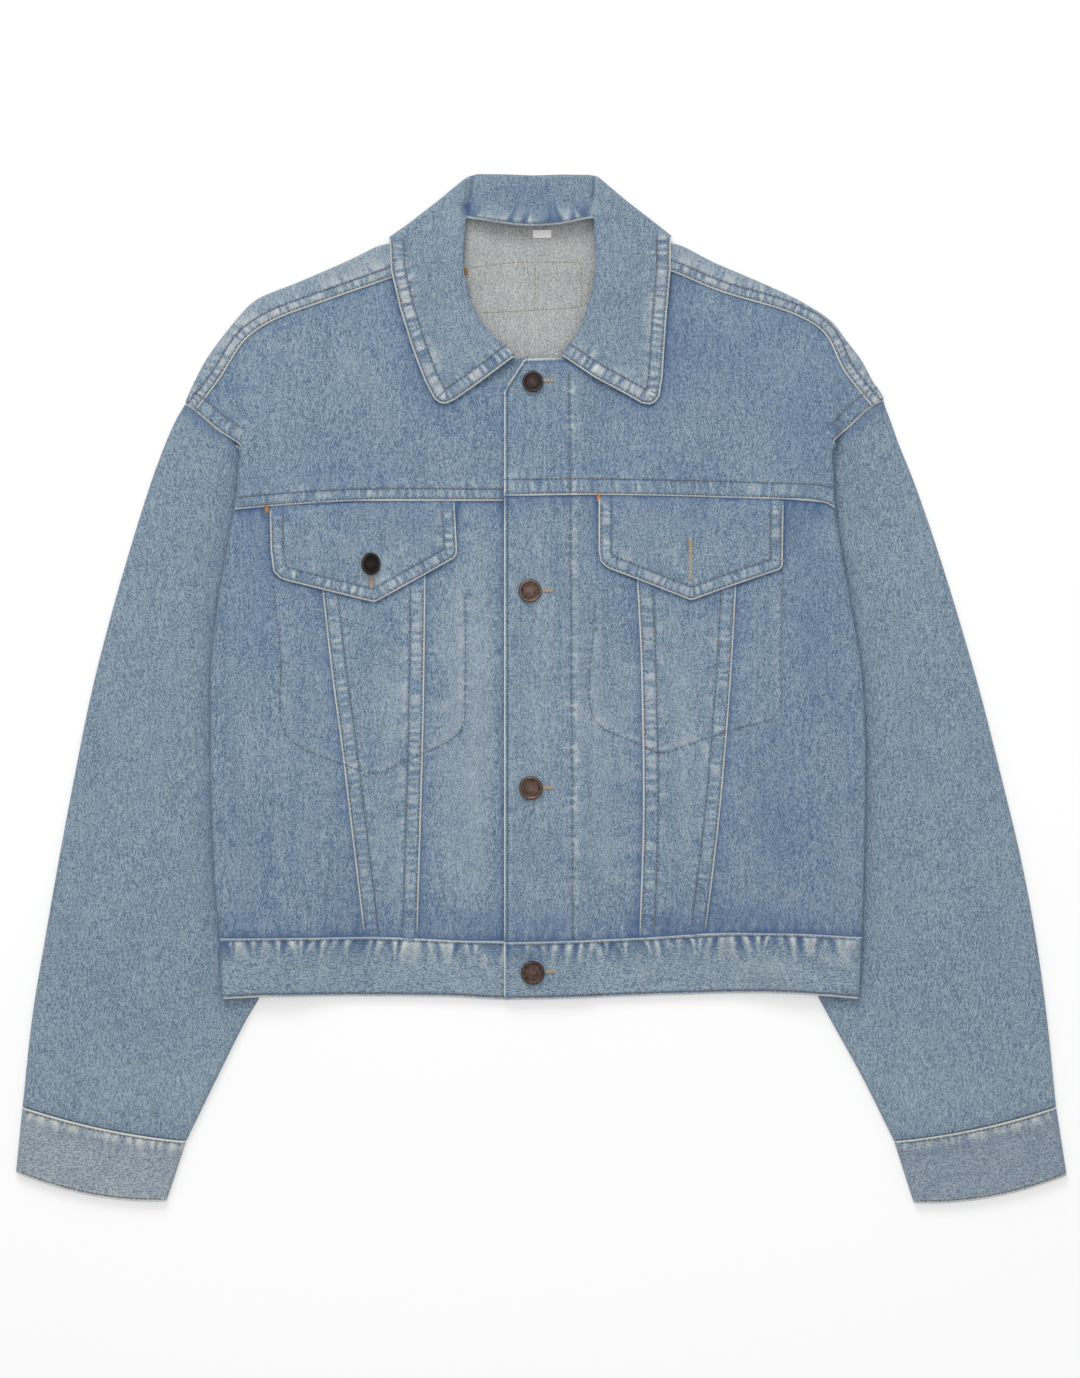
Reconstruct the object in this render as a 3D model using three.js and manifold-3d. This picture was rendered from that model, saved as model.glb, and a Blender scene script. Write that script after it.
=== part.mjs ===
// A denim jacket laid face up on a flat surface, in millimetres.
// +Y points to the collar, +X to the wearer's left and +Z up off the surface.
// In the tables, west is -X (the wearer's right) and east is +X (the wearer's left).
import * as THREE from 'three';
import Module from 'manifold-3d';

const wasm = await Module();
wasm.setup();

// Thicknesses and heights above the surface.
const CLOTH = 1.3;
const DOUBLE = 2.4;
const SEAM = 0.3;
const FLAT = 6.0;
const SLEEVE_LIFT = 6.5;
const HEAD_LIFT = 3.5;
const HEAD_THICK = 2.9;
const FALL_LIFT = 2.7;
const FALL_THICK = 2.2;
const STAND_TOP = 4.8;
const JOINT = 0.1;
const REST = 0.1;

// Landmarks of the body, as Y from the middle of the whole length.
const HEM = -216;
const ARMHOLE_FOOT = 171;
const NECK_FRONT = 232.4;
const SHOULDER_TOP = 334;
const UNDERARM = -20;

// Front opening: the left front laps over the right one.
const PLACKET_EDGE = -26.3;
const PLACKET_STITCH = 20.7;
const UNDERLAP_EDGE = 21;

// Width of the soft slope where the cloth climbs over a sleeve, and of the step at the armhole pleat.
const SLOPE = 50;
const SLOPE_REST = 12;
const PLEAT_STEP = 7;
const PLEAT_TOP = 246;
const FOLD_DEPTH = 3.0;
const PLACKET_SLOPE = { near: 6, far: 20 };

// The flattened sleeve head beneath the body: where it sets in, where it fades, and its inward slope.
const HEAD_ZONE = { start: -90, fadeLow: 90, fadeHigh: 150, slope: 45 };

// The back yoke rises over the collar's fall between these heights and inside these distances.
const FALL_ZONE = { low: 280, high: 296, middle: -8, near: 102, far: 124 };

// The cloth doubles between these heights at the top of the waistband.
const WAIST_TURN = { low: -178.5, high: -177 };

// Front and back are one cloth at the side fold below the first height and above the second.
const JOINED_BELOW = -176;
const JOINED_ABOVE = 204;

// Outline of the laid body, a row for each height.
const BODY_OUTLINE = [
  { y: -216, west: -223.7, east: 222.3 },
  { y: -173, west: -225.4, east: 224.4 },
  { y: -130, west: -229.2, east: 225.6 },
  { y: -42, west: -231.6, east: 227 },
  { y: 3, west: -231.8, east: 225.1 },
  { y: 58, west: -227, east: 217 },
  { y: 100, west: -220, east: 209.5 },
  { y: 126, west: -215.3, east: 205.8 },
  { y: 150, west: -212.6, east: 204.4 },
  { y: 166, west: -211.2, east: 203.6 },
  { y: 173, west: -217, east: 208.5 },
  { y: 180, west: -230, east: 218 },
  { y: 190, west: -244, east: 230 },
  { y: 199, west: -251, east: 240.5 },
  { y: 204, west: -249, east: 240 },
  { y: 217, west: -243, east: 232 },
  { y: 231, west: -235.6, east: 224.5 },
  { y: 245, west: -225.8, east: 213.9 },
  { y: 258, west: -215.5, east: 203.8 },
  { y: 273, west: -201, east: 181 },
  { y: 287, west: -168, east: 151 },
  { y: 301, west: -136, east: 118.5 },
  { y: 306, west: -125.5, east: 109 },
  { y: 311, west: -114.5, east: 98.5 },
  { y: 315, west: -98, east: 85 },
  { y: 320, west: -86, east: 74 },
  { y: 326, west: -74, east: 62 },
  { y: 334, west: -60, east: 46 },
];

// Inner limit of the sleeve that lies beneath the body: its inner edge, then its head.
const SLEEVE_BENEATH = [
  { y: -230, west: -204.5, east: 201.5 },
  { y: -217, west: -198.5, east: 195 },
  { y: -170, west: -176, east: 172 },
  { y: -120, west: -157, east: 152 },
  { y: -70, west: -140, east: 134 },
  { y: -20, west: -127, east: 121 },
  { y: 30, west: -143, east: 137 },
  { y: 80, west: -166, east: 160 },
  { y: 126, west: -190, east: 183.5 },
  { y: 171, west: -210.4, east: 204 },
  { y: 246, west: -202.7, east: 199.6 },
];

// Outer edge of each sleeve from the shoulder tip to the cuff seam.
const SLEEVE_OUTER = [
  { y: -292, west: -364, east: 360.9 },
  { y: -231, west: -357.4, east: 354.6 },
  { y: -175, west: -348.3, east: 346.9 },
  { y: -119, west: -338.5, east: 336.4 },
  { y: -63, west: -328, east: 323 },
  { y: -7, west: -316.8, east: 309 },
  { y: 49, west: -302.8, east: 293 },
  { y: 105, west: -286.7, east: 275.5 },
  { y: 147, west: -273.4, east: 260.8 },
  { y: 175, west: -262.9, east: 249.6 },
  { y: 189, west: -256.6, east: 244.7 },
  { y: 201, west: -249.6, east: 240.1 },
];

// Inner edge of each sleeve from the cuff seam up to the underarm, hidden above the hem.
const SLEEVE_INNER = [
  { y: -316, west: -249, east: 247.2 },
  { y: -273, west: -228, east: 225.8 },
  { y: -231, west: -206.9, east: 202.7 },
  { y: -217, west: -198.5, east: 195 },
  { y: -170, west: -176, east: 172 },
  { y: -120, west: -157, east: 152 },
  { y: -70, west: -140, east: 134 },
  { y: -20, west: -127, east: 121 },
];

// Ends of the two cuffs: the seam to the sleeve and the open end, with how far each bows out.
const CUFF = {
  west: {
    seamOuter: [-364, -292],
    seamInner: [-249, -316],
    endOuter: [-368.6, -338.1],
    endInner: [-263, -358.4],
  },
  east: {
    seamOuter: [360.9, -292],
    seamInner: [247.2, -316],
    endOuter: [368.3, -340],
    endInner: [261.1, -359.5],
  },
};
const CUFF_SEAM_BOW = 3.5;
const CUFF_END_BOW = 6;

// Armhole seam of each side from the shoulder tip to its foot, where the body folds over it.
const ARMHOLE = {
  west: [[-249.6, 201], [-241.9, 195], [-226, 181.5], [-210.4, 171]],
  east: [[240.1, 203], [230, 197.7], [216.5, 185], [204, 173.5]],
};

// Front shoulder seams, from inside the neck to past the armhole.
const SHOULDER_SEAM = {
  west: [[-40, 309], [-71, 299.6], [-106, 288], [-148.8, 273.3], [-190.4, 257.3], [-207.8, 244.6],
    [-225.3, 217.7], [-241.9, 196], [-258, 178]],
  east: [[25, 309], [55, 303], [91.4, 292.6], [124.3, 279.3], [178.9, 262.1], [197.8, 249.9],
    [211.8, 223.3], [231, 198.8], [246, 180]],
};

// Seam between each front yoke and the panels below it.
const FRONT_YOKE_SEAM = {
  west: [[-240, 122], [-213, 126], [-173, 129.5], [-127.8, 132.3], [-27.7, 132.3], [40, 132.3]],
  east: [[-60, 135.8], [-27.7, 135.8], [40, 136.5], [164, 133.3], [197, 130.9], [208, 125.5], [230, 118]],
};

// Seam at the top of the waistband.
const WAIST_SEAM_LINE = {
  west: [[-250, -173.6], [-224.6, -173.6], [-118.7, -172.9], [-46, -175.7], [40, -176.2]],
  east: [[-60, -176.4], [-25.6, -176.4], [13, -175.7], [68, -173.6], [139, -169.8], [177.8, -170.2],
    [222.8, -172.5], [250, -173]],
};

// The two seams that make the V on each front: the one nearer the side, and the one nearer the middle.
const VEE_SEAMS = {
  west: {
    side: [[-162, 145], [-153.3, 67.9], [-147, 12.6], [-139.7, -42], [-133, -97.3], [-123, -185]],
    middle: [[-79.5, 145], [-81, 79], [-82.3, -15.4], [-85, -113.4], [-87, -185]],
  },
  east: {
    side: [[140.2, 145], [136.4, 73.7], [133, 12.6], [125.7, -77], [113.5, -185]],
    middle: [[61, 150], [66.7, 76], [69.7, 12.6], [71, -77], [68, -185]],
  },
};

// Seams of the back: below its yoke, and above the waistband.
const BACK_SEAMS = {
  yoke: [[-260, 134], [-120, 131], [0, 130], [120, 131], [260, 134]],
  waist: [[-260, -174], [-120, -174.5], [0, -175.5], [120, -172], [260, -172.6]],
};

// A place that lies inside each piece of a front, measured from the middle, and of the back.
const FRONT_PLACES = {
  flap: [160, 276],
  yoke: [120, 200],
  sidePanel: [190, 0],
  vee: [100, 0],
  inner: [40, 0],
  band: [100, -195],
};
const BACK_PLACES = { panel: [0, 0], yoke: [0, 200], band: [0, -195] };

// Neck: what is cut out of the fronts under the collar's roll, and out of the back above its seam.
const FRONT_NECK = [[-57, 360], [-58.5, 296], [-52, 267], [-39, 246.5], [-20, NECK_FRONT],
  [14.5, NECK_FRONT], [29, 246.5], [36.5, 267], [41.3, 288], [42, 360]];
const BACK_NECK = [[-76, 360], [-66, 335], [-52, 330], [-30, 325.8], [-9, 323.6], [15, 325.2],
  [36, 329.4], [52, 335], [62, 360]];

// Top corner of the placket, cut away at the neck.
const PLACKET_CORNER = [[-60, 250], [-60, 196], [PLACKET_EDGE, 196], [-24, 213], [-12.5, 230], [-10, 250]];

// Collar: its top outline, a row for each station across, and the outline of what lies in front.
const COLLAR_TOP = [
  { x: -106.6, y: 317.4 },
  { x: -95, y: 325.4 },
  { x: -72, y: 343.2 },
  { x: -57, y: 355.6 },
  { x: -51, y: 360.2 },
  { x: -45, y: 362 },
  { x: -26, y: 361.8 },
  { x: -6, y: 361 },
  { x: 14, y: 361.6 },
  { x: 33, y: 361.4 },
  { x: 39.5, y: 359.4 },
  { x: 60, y: 342.4 },
  { x: 80, y: 327 },
  { x: 90.8, y: 318.4 },
];
const COLLAR_FRONT = [[-120, 315], [-106.4, 315], [-105.4, 293.3], [-99, 266], [-90.2, 238],
  [-81.9, 216.3], [-75.3, 203.7], [-71, 200.6], [-66.5, 200.3], [-60.6, 203], [-38.2, 218.8],
  [-17.9, 233.8], [-35.4, 249.2],
  [-48, 268.8], [-54.3, 296.1], [-52.8, 330.2], [-30, 326.1], [-9, 323.9], [15, 325.5], [36.6, 330.2],
  [37.1, 287.7], [32.3, 268.8], [25.3, 249.2], [13, 234.5], [36.4, 218.8], [59.9, 206.5], [70, 200.6],
  [75.5, 199.6], [80, 201.6], [82.8, 206], [84.8, 218.8], [87.6, 260.4], [90.4, 293.3], [90.6, 316],
  [110, 316], [110, 380], [-120, 380]];

// Outline of what lies behind: the fall, folded down from the collar's top.
const COLLAR_FALL = [[-120, 315], [-106.2, 315], [-99, 308.5], [-80, 304], [-50, 301], [-6, 299.8],
  [38, 301], [66, 304], [84, 309], [90.6, 316], [110, 316], [110, 380], [-120, 380]];
const COLLAR_FOOT = 190;
const FALL_FOOT = 290;

// How the collar's upper face goes: over the placket, up to the fall, and down on to the stand.
const PLACKET_CLIMB = [-54, -32];
const PLACKET_DESCENT = [34, 64];
const LEAF_CLIMB = [264, 284];
const STAND_ZONE = { west: [-55, -49], east: [32, 39], foot: [328, 336] };

// Pocket flaps: the outline of each, from its corner at the yoke seam round its point.
const FLAP_LOW = 60;
const FLAP_HIGH = 135.5;
const FLAP_OUTLINES = {
  west: [[-190, 125.4], [-189.4, 98], [-187.4, 82.2], [-181.6, 77.2], [-150, 69.3], [-116.8, 61.2],
    [-86, 78.2], [-60.6, 92.4], [-58.8, 95], [-60.8, 131.3], [-90, 131.2], [-116.8, 130.6],
    [-150, 129], [-173, 127.4]],
  east: [[39.9, 135.2], [39.9, 97], [41.2, 90], [45.5, 85.6], [75, 74.3], [104.7, 62.6], [136, 73.7],
    [167, 84.2], [168.8, 87], [169.2, 131.6], [150, 132.4], [120, 133.6], [75, 134.8]],
};

// Buttons: where each sits and its radius.
const BUTTONS = [
  { name: 'front_button_1', x: -6, y: 215.6, radius: 7.4 },
  { name: 'front_button_2', x: -8, y: 69.3, radius: 8 },
  { name: 'front_button_3', x: -7.4, y: -68.6, radius: 8.3 },
  { name: 'front_button_4', x: -6, y: -197.7, radius: 8.3 },
  { name: 'pocket_button_right', x: -118.4, y: 88, radius: 7.8 },
];
const BUTTON_HEIGHT = 3.4;
const BUTTON_SIDES = 14;

// Side view of a button, as shares of its radius and height: the stem, the cap's rim and its dished top.
const BUTTON_PROFILE = [
  { out: 0, up: 0 },
  { out: 0.34, up: 0 },
  { out: 0.34, up: 0.3 },
  { out: 0.9, up: 0.38 },
  { out: 1, up: 0.6 },
  { out: 0.97, up: 0.86 },
  { out: 0.86, up: 1 },
  { out: 0.72, up: 0.86 },
  { out: 0.4, up: 0.8 },
  { out: 0, up: 0.84 },
];

// Blank tab at the inside of the back neck.
const LABEL = { x: 0.4, y: 319.8, width: 13, depth: 5.6, thickness: 1.0 };

// Colour and sheen of each kind of piece.
const FINISH = {
  denim: { color: 0x7f9cbc, roughness: 0.92, metalness: 0 },
  sleeve: { color: 0x7390ad, roughness: 0.92, metalness: 0 },
  trim: { color: 0x86a2bd, roughness: 0.92, metalness: 0 },
  button: { color: 0x5a4034, roughness: 0.42, metalness: 0.85 },
  label: { color: 0xdfe4e2, roughness: 0.9, metalness: 0 },
};

// Smooth step from 0 at the low end to 1 at the high end.
function rise(low, high, value) {
  return THREE.MathUtils.smoothstep(value, low, high);
}

// A smooth curve through one column of a table, with slopes held back so that it never overshoots.
function curveOf(table, along, name) {
  const places = table.map((row) => row[along]);
  const values = table.map((row) => row[name]);
  const slopes = places.slice(1).map((place, i) => (values[i + 1] - values[i]) / (place - places[i]));
  const tangents = values.map((_, i) => {
    if (i === 0) return slopes[0];
    if (i === values.length - 1) return slopes[i - 1];
    const product = slopes[i - 1] * slopes[i];
    return product <= 0 ? 0 : (2 * product) / (slopes[i - 1] + slopes[i]);
  });
  return (place) => {
    const at = THREE.MathUtils.clamp(place, places[0], places[places.length - 1]);
    let i = 0;
    while (i < places.length - 2 && at > places[i + 1]) i += 1;
    const span = places[i + 1] - places[i];
    const t = (at - places[i]) / span;
    const t2 = t * t;
    const t3 = t2 * t;
    return (2 * t3 - 3 * t2 + 1) * values[i] + (t3 - 2 * t2 + t) * span * tangents[i]
      + (3 * t2 - 2 * t3) * values[i + 1] + (t3 - t2) * span * tangents[i + 1];
  };
}

const SIDES = { west: -1, east: 1 };

// The curves of both sides through a table with a row for each height.
function bothSides(table) {
  return { west: curveOf(table, 'y', 'west'), east: curveOf(table, 'y', 'east') };
}

const outlineOf = bothSides(BODY_OUTLINE);
const beneathOf = bothSides(SLEEVE_BENEATH);

// How far the sleeve of one side lifts the body above the surface.
function sleeveLift(x, y, side) {
  const inward = SIDES[side] * (x - beneathOf[side](y));
  const climb = rise(-SLOPE - SLOPE_REST, -SLOPE_REST, inward);
  if (y > ARMHOLE_FOOT) {
    const fade = 1 - rise(ARMHOLE_FOOT, PLEAT_TOP, y);
    return SLEEVE_LIFT * fade * climb * (1 - rise(0, PLEAT_STEP, inward));
  }
  const { start, fadeLow, fadeHigh, slope } = HEAD_ZONE;
  const full = 1 - rise(start, UNDERARM, y) * (1 - rise(fadeLow, fadeHigh, y));
  const head = HEAD_LIFT + (SLEEVE_LIFT - HEAD_LIFT) * full;
  return head * climb + (SLEEVE_LIFT - HEAD_LIFT) * (1 - full) * rise(0, slope, inward);
}

// How far the collar's fall lifts the back yoke.
function fallLift(x, y) {
  const { low, high, middle, near, far } = FALL_ZONE;
  return FALL_LIFT * rise(low, high, y) * (1 - rise(near, far, Math.abs(x - middle)));
}

// Underside of the back, which is 0 where the back rests on the surface.
function backHeight(x, y) {
  return sleeveLift(x, y, 'west') + sleeveLift(x, y, 'east') + fallLift(x, y);
}

// Upper face of the fronts where only one layer of front lies there.
function frontHeight(x, y) {
  return backHeight(x, y) + FLAT;
}

// How much of the placket's double layer lies at a place across the front.
function placketShare(x) {
  return 1 - rise(PLACKET_STITCH + PLACKET_SLOPE.near, PLACKET_STITCH + PLACKET_SLOPE.far, x);
}

// Upper face of the left front, which lies on the right one at the placket.
function leftFrontHeight(x, y) {
  return frontHeight(x, y) + placketShare(x) * (SEAM + DOUBLE);
}

// Cloth is doubled in the waistband.
function bodyThickness(y) {
  return THREE.MathUtils.lerp(DOUBLE, CLOTH, rise(WAIST_TURN.low, WAIST_TURN.high, y));
}

// The placket is doubled too.
function leftFrontThickness(x, y) {
  return Math.max(bodyThickness(y), THREE.MathUtils.lerp(CLOTH, DOUBLE, placketShare(x)));
}

const PRISM_SPAN = [-20, 60];
const BLADE_STEPS = 2.5;
const PIN_SIZE = 1;
const LONGEST_SLANT = 2.2;

// Builds a closed wall from two grids of points, its outer and its inner face.
function wall(outer, inner, ring = false) {
  const rows = outer.length;
  const columns = outer[0].length;
  const vertices = [];
  for (const row of [...outer, ...inner]) {
    for (const point of row) {
      vertices.push(...point);
    }
  }
  const index = (face, i, j) => face * rows * columns + i * columns + (j % columns);
  const triangles = [];
  const quad = (a, b, c, d) => triangles.push(a, b, c, a, c, d);
  const lastColumn = ring ? columns : columns - 1;
  for (let i = 0; i < rows - 1; i += 1) {
    for (let j = 0; j < lastColumn; j += 1) {
      quad(index(0, i, j), index(0, i, j + 1), index(0, i + 1, j + 1), index(0, i + 1, j));
      quad(index(1, i, j), index(1, i + 1, j), index(1, i + 1, j + 1), index(1, i, j + 1));
    }
    if (!ring) {
      quad(index(0, i, 0), index(0, i + 1, 0), index(1, i + 1, 0), index(1, i, 0));
      quad(index(0, i, columns - 1), index(1, i, columns - 1), index(1, i + 1, columns - 1),
        index(0, i + 1, columns - 1));
    }
  }
  for (let j = 0; j < lastColumn; j += 1) {
    quad(index(0, 0, j), index(1, 0, j), index(1, 0, j + 1), index(0, 0, j + 1));
    const last = rows - 1;
    quad(index(0, last, j), index(0, last, j + 1), index(1, last, j + 1), index(1, last, j));
  }
  return solidOf(vertices, triangles);
}

// Turns points and triangles into a solid, with its faces pointing out.
function solidOf(vertices, triangles) {
  let volume = 0;
  const at = (k) => new THREE.Vector3().fromArray(vertices, 3 * k);
  for (let k = 0; k < triangles.length; k += 3) {
    volume += at(triangles[k]).dot(at(triangles[k + 1]).cross(at(triangles[k + 2])));
  }
  const faces = volume > 0 ? triangles : triangles.slice().reverse();
  const mesh = new wasm.Mesh({
    numProp: 3,
    vertProperties: Float32Array.from(vertices),
    triVerts: Uint32Array.from(faces),
  });
  return new wasm.Manifold(mesh);
}

// Upright prism over an outline in plan, from below the garment to above it.
function prism(outline) {
  const count = outline.length;
  const vertices = [];
  for (const z of PRISM_SPAN) {
    for (const [x, y] of outline) {
      vertices.push(x, y, z);
    }
  }
  const triangles = [];
  const contour = outline.map(([x, y]) => new THREE.Vector2(x, y));
  const clockwise = THREE.ShapeUtils.isClockWise(contour);
  for (const [a, b, c] of THREE.ShapeUtils.triangulateShape(contour, [])) {
    triangles.push(a, c, b, count + a, count + b, count + c);
  }
  for (let i = 0; i < count; i += 1) {
    const j = (i + 1) % count;
    if (clockwise) triangles.push(i, count + j, j, i, count + i, count + j);
    else triangles.push(i, j, count + j, i, count + j, count + i);
  }
  return solidOf(vertices, triangles);
}

// Smooth path through the points of a line in plan.
function smoothPath(line) {
  const points = line.map(([x, y]) => new THREE.Vector3(x, y, 0));
  return new THREE.CatmullRomCurve3(points, false, 'centripetal');
}

// Thin upright blade along a smooth line in plan: what it removes is the gap at a seam.
function blade(line) {
  const path = smoothPath(line);
  const steps = Math.round(BLADE_STEPS * (line.length - 1));
  const left = [];
  const right = [];
  for (let i = 0; i <= steps; i += 1) {
    const point = path.getPointAt(i / steps);
    const along = path.getTangentAt(i / steps);
    left.push([point.x - along.y * SEAM / 2, point.y + along.x * SEAM / 2]);
    right.unshift([point.x + along.y * SEAM / 2, point.y - along.x * SEAM / 2]);
  }
  return prism([...left, ...right]);
}

// Cuts a sheet along blades and hands back its pieces.
function cutAlong(sheet, blades) {
  return blades.reduce((rest, knife) => rest.subtract(knife), sheet).decompose();
}

// Picks the piece that lies over a place in plan.
function pieceOver(pieces, [x, y]) {
  const corners = [[-1, -1], [1, -1], [1, 1], [-1, 1]];
  const pin = prism(corners.map(([dx, dy]) => [x + dx * PIN_SIZE, y + dy * PIN_SIZE]));
  return pieces.find((piece) => piece.intersect(pin).volume() > 0);
}

// Heights at which the body's cloth is worked out, closer together at seams and shoulders.
const BODY_ROWS = [HEM, -196, WAIST_TURN.low, WAIST_TURN.high, -174.8, -148, -112, -78, -46, -14, 20, 54, 86,
  112, 132, 150, 163, 171, 177, 184, 192, 200, 208, 220, 233, 246, 260, 273, 284, 293, 303, 311, 319,
  326, SHOULDER_TOP];
const FOLD_STEPS = [0, 1 / 3, 2 / 3, 1];
const COLUMNS = 8;
const CENTRE = -3;

// Points of one row of cloth from its inner places out to the fold at the body's side.
// The cloth turns round the fold on an ellipse, from flat down (or up) to half height.
function sheetRow(y, starts, side, faceHeight, thickness, turn) {
  const limit = outlineOf[side](y);
  const slant = (outlineOf[side](y + 1) - outlineOf[side](y - 1)) / 2;
  const depth = FOLD_DEPTH * Math.min(Math.hypot(1, slant), LONGEST_SLANT);
  const inside = limit - SIDES[side] * depth;
  const outer = [];
  const inner = [];
  const places = [...starts];
  for (let j = 0; j < COLUMNS; j += 1) {
    places.push(THREE.MathUtils.lerp(CENTRE, inside, j / COLUMNS));
  }
  for (const x of places) {
    const z = faceHeight(x, y);
    outer.push([x, y, z]);
    inner.push([x, y, z - turn * thickness(x, y)]);
  }
  const z = faceHeight(inside, y);
  const half = FLAT / 2;
  const middle = z - turn * half;
  const wallDepth = thickness(inside, y);
  const joined = y < JOINED_BELOW || y > JOINED_ABOVE;
  const end = turn * (joined ? -JOINT : SEAM / 2);
  for (const step of FOLD_STEPS) {
    const angle = step * Math.PI / 2;
    const level = step === 1 ? end : 0;
    const out = SIDES[side] * Math.sin(angle);
    const share = wallDepth * depth / FOLD_DEPTH;
    const up = turn * Math.cos(angle);
    outer.push([inside + out * depth, y, middle + level + half * up]);
    inner.push([inside + out * (depth - share), y, middle + level + (half - wallDepth) * up]);
  }
  return { outer, inner };
}

// One row of a front between its edge at the opening and the fold at the side, from west to east.
function frontRow(side, y) {
  if (side === 'west') {
    const row = sheetRow(y, [UNDERLAP_EDGE], side, frontHeight, (_, v) => bodyThickness(v), 1);
    return { outer: row.outer.reverse(), inner: row.inner.reverse() };
  }
  return sheetRow(y, [PLACKET_EDGE], side, leftFrontHeight, leftFrontThickness, 1);
}

// One front of the body as a single sheet, before its seams are cut.
function frontSheet(side) {
  const rows = BODY_ROWS.map((y) => frontRow(side, y));
  return wall(rows.map((row) => row.outer), rows.map((row) => row.inner));
}

// The whole back as a single sheet, with its outer face down.
function backSheet() {
  const rows = BODY_ROWS.map((y) => {
    const west = sheetRow(y, [], 'west', backHeight, (_, v) => bodyThickness(v), -1);
    const east = sheetRow(y, [], 'east', backHeight, (_, v) => bodyThickness(v), -1);
    return {
      outer: [...west.outer.reverse(), ...east.outer.slice(1)],
      inner: [...west.inner.reverse(), ...east.inner.slice(1)],
    };
  });
  return wall(rows.map((row) => row.outer), rows.map((row) => row.inner));
}

// How far the cut at the armhole runs on past its tip and its foot.
const PAST_TIP = [14, 12];
const PAST_FOOT = [4, -9];

// Armhole blade: along the seam, then out past the side fold at its foot.
function armholeBlade(side) {
  const line = ARMHOLE[side];
  const beyond = ([x, y], [dx, dy]) => [x + SIDES[side] * dx, y + dy];
  return blade([beyond(line[0], PAST_TIP), ...line, beyond(line[line.length - 1], PAST_FOOT)]);
}

// All pieces cut from the body's three sheets.
function bodyPieces() {
  const neck = prism(FRONT_NECK);
  const sheets = {
    west: frontSheet('west').subtract(neck),
    east: frontSheet('east').subtract(neck).subtract(prism(PLACKET_CORNER)),
  };
  const pieces = {};
  for (const side of ['west', 'east']) {
    const parts = cutAlong(sheets[side], [
      blade(SHOULDER_SEAM[side]),
      blade(FRONT_YOKE_SEAM[side]),
      blade(WAIST_SEAM_LINE[side]),
      blade(VEE_SEAMS[side].side),
      blade(VEE_SEAMS[side].middle),
      armholeBlade(side),
    ]);
    pieces[side] = {};
    for (const [name, [x, y]] of Object.entries(FRONT_PLACES)) {
      pieces[side][name] = pieceOver(parts, [SIDES[side] * x, y]);
    }
  }
  const backParts = cutAlong(backSheet().subtract(prism(BACK_NECK)), [
    blade(BACK_SEAMS.yoke),
    blade(BACK_SEAMS.waist),
    armholeBlade('west'),
    armholeBlade('east'),
  ]);
  return {
    back_panel: pieceOver(backParts, BACK_PLACES.panel),
    back_yoke: pieceOver(backParts, BACK_PLACES.yoke).add(pieces.west.flap).add(pieces.east.flap),
    front_yoke_right: pieces.west.yoke,
    front_yoke_left: pieces.east.yoke,
    front_side_right: pieces.west.sidePanel,
    front_side_left: pieces.east.sidePanel,
    front_vee_right: pieces.west.vee,
    front_vee_left: pieces.east.vee,
    front_inner_right: pieces.west.inner,
    front_inner_left: pieces.east.inner,
    waistband: pieceOver(backParts, BACK_PLACES.band).add(pieces.west.band).add(pieces.east.band),
  };
}

// Height of the collar's upper face: the leaves lie on the fronts, the stand on the fall.
function collarHeight(x, y) {
  const placket = rise(...PLACKET_CLIMB, x) * (1 - rise(...PLACKET_DESCENT, x)) * (SEAM + DOUBLE);
  const leaf = FLAT + FALL_LIFT * rise(...LEAF_CLIMB, y) + placket + SEAM + REST + FALL_THICK;
  const { west, east, foot } = STAND_ZONE;
  const standShare = rise(...west, x) * (1 - rise(...east, x)) * rise(...foot, y);
  return THREE.MathUtils.lerp(leaf, STAND_TOP, standShare);
}

// Shares of the way down each column of the collar, the widest gap between columns, and its slants.
const COLLAR_STEPS = [0, 0.08, 0.17, 0.26, 0.36, 0.46, 0.57, 0.68, 0.84, 1];
const FALL_STEPS = [0, 0.5, 1];
const STATION_GAP = 21;
const SLANT_REACH = 2;
const COLLAR_SLANT = 2;

// One column of the collar from the fold at its top down towards its edge.
function collarColumn(x, top, slant, foot, steps, height, turn) {
  const depth = FOLD_DEPTH * Math.min(Math.hypot(1, slant), COLLAR_SLANT);
  const start = top - depth;
  const crest = collarHeight(x, start);
  const half = crest / 2;
  const outer = [];
  const inner = [];
  for (const step of [...FOLD_STEPS].reverse()) {
    const angle = step * Math.PI / 2;
    const level = step === 1 ? -turn * JOINT : 0;
    const share = FALL_THICK * depth / FOLD_DEPTH;
    outer.push([x, start + Math.sin(angle) * depth, half + level + turn * half * Math.cos(angle)]);
    inner.push([x, start + Math.sin(angle) * (depth - Math.min(share, depth)),
      half + level + turn * (half - FALL_THICK) * Math.cos(angle)]);
  }
  for (const step of steps.slice(1)) {
    const y = THREE.MathUtils.lerp(start, foot, step);
    const z = height(x, y);
    outer.push([x, y, z]);
    inner.push([x, y, z - turn * FALL_THICK]);
  }
  return { outer, inner };
}

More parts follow.
